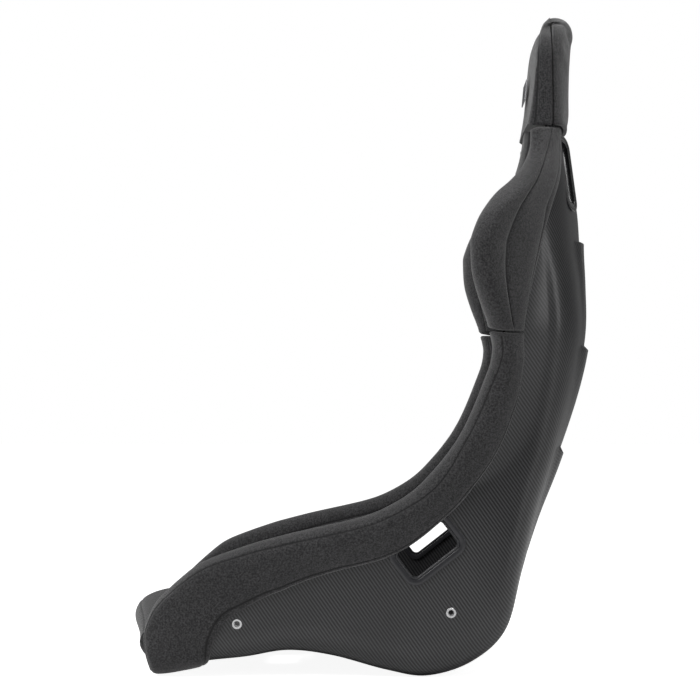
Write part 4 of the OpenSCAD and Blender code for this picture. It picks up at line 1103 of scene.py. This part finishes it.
def fittings():
    bezel("lap_belt_surround", LAP_PLACE, LAP_SLOT, LAP_FLANGE, 0.4, "bezel_plastic",
          "lap_belt_bezel_left", False)
    bezel("shoulder_belt_surround", SHOULDER_PLACE, SHOULDER_SLOT, SHOULDER_FLANGE, 6, "gloss_bezel",
          "shoulder_belt_bezel_left", True)
    bezel("crotch_strap_surround", CROTCH_PLACE, CROTCH_SLOT, CROTCH_FLANGE, 3, "bezel_plastic",
          "crotch_strap_bezel", True)
    for i, row in enumerate(("front", "rear")):
        insert(INSERT_PLACES[i], row)
    for side in ("_left", "_right"):
        moulded("side_plate" + side, "plate_metal", 0.8)
        moulded("lap_belt_inner_frame" + side, "bezel_plastic", 0.7)
        moulded("shoulder_belt_inner_frame" + side, "bezel_plastic", 0.7)
    moulded("crotch_strap_inner_frame", "bezel_plastic", 0.7)
    badge()


# ---------------------------------------------------------------- floor, light and camera
# Metres, and for the lens millimetres.
CAMERA_PLACE, CAMERA_AIM, CAMERA_LENS = (3.2, 0.088, 0.42), (0, -0.013, 0.447), 114
AMBIENT, FLOOR_GLOW, FLOOR_REACH = 0.15, 0.92, 9.0


def area_light(name, place, aim, size, watts, tone=(1, 1, 1)):
    data = bpy.data.lights.new(name, "AREA")
    data.shape, data.size, data.size_y = "RECTANGLE", size[0], size[1]
    data.energy, data.color = watts, tone
    ob = bpy.data.objects.new(name, data)
    bpy.context.scene.collection.objects.link(ob)
    aim_at(ob, place, aim)
    return ob


def aim_at(ob, place, aim):
    from mathutils import Vector
    ob.location = place
    ob.rotation_euler = (Vector(aim) - Vector(place)).to_track_quat("-Z", "Y").to_euler()


def studio():
    scene = bpy.context.scene
    world = bpy.data.worlds.new("studio")
    scene.world = world
    world.use_nodes = True
    tree = world.node_tree
    tree.nodes.clear()
    out = tree.nodes.new("ShaderNodeOutputWorld")
    mix = tree.nodes.new("ShaderNodeMixShader")
    path = tree.nodes.new("ShaderNodeLightPath")
    seen, given = tree.nodes.new("ShaderNodeBackground"), tree.nodes.new("ShaderNodeBackground")
    seen.inputs[0].default_value = (1, 1, 1, 1)
    seen.inputs[1].default_value = 1.0
    given.inputs[0].default_value = (1, 1, 1, 1)
    given.inputs[1].default_value = AMBIENT
    tree.links.new(path.outputs["Is Camera Ray"], mix.inputs[0])
    tree.links.new(given.outputs[0], mix.inputs[1])
    tree.links.new(seen.outputs[0], mix.inputs[2])
    tree.links.new(mix.outputs[0], out.inputs[0])

    def floor_look(tree, shader):
        tone = mix_colour(tree, object_noise(tree, 3.0), (0.93, 0.93, 0.93), (0.95, 0.95, 0.95))
        tree.links.new(tone, shader.inputs["Base Color"])
        shader.inputs["Roughness"].default_value = 0.9
        shader.inputs["Emission Color"].default_value = (1, 1, 1, 1)
        path = tree.nodes.new("ShaderNodeLightPath")
        glow = math_node(tree, "MULTIPLY", path.outputs["Is Camera Ray"], FLOOR_GLOW)
        tree.links.new(glow, shader.inputs["Emission Strength"])

    me = bpy.data.meshes.new("floor")
    r = FLOOR_REACH
    me.from_pydata([(-r, -r, 0), (r, -r, 0), (r, r, 0), (-r, r, 0)], [], [(0, 1, 2, 3)])
    floor = bpy.data.objects.new("floor", me)
    scene.collection.objects.link(floor)
    me.materials.append(material("floor_pale", floor_look))
    area_light("key", (1.6, -1.7, 2.4), (0, 0, 0.4), (1.6, 1.2), 38)
    area_light("overhead", (0.3, 0.2, 2.9), (0, 0.05, 0.3), (2.4, 1.6), 30)
    area_light("rear_strip", (1.3, 2.2, 1.1), (0, 0.2, 0.45), (0.5, 1.8), 7)
    cam = bpy.data.cameras.new("camera")
    cam.lens, cam.sensor_width, cam.dof.use_dof = CAMERA_LENS, 36, False
    ob = bpy.data.objects.new("camera", cam)
    scene.collection.objects.link(ob)
    aim_at(ob, CAMERA_PLACE, CAMERA_AIM)
    scene.camera = ob
    scene.view_settings.view_transform = "Standard"
    scene.view_settings.look = "None"


shell_laminate()
edge_rolls()
front_roll_pad()
cushions()
liners()
head_pads()
blow_up()
fittings()
studio()
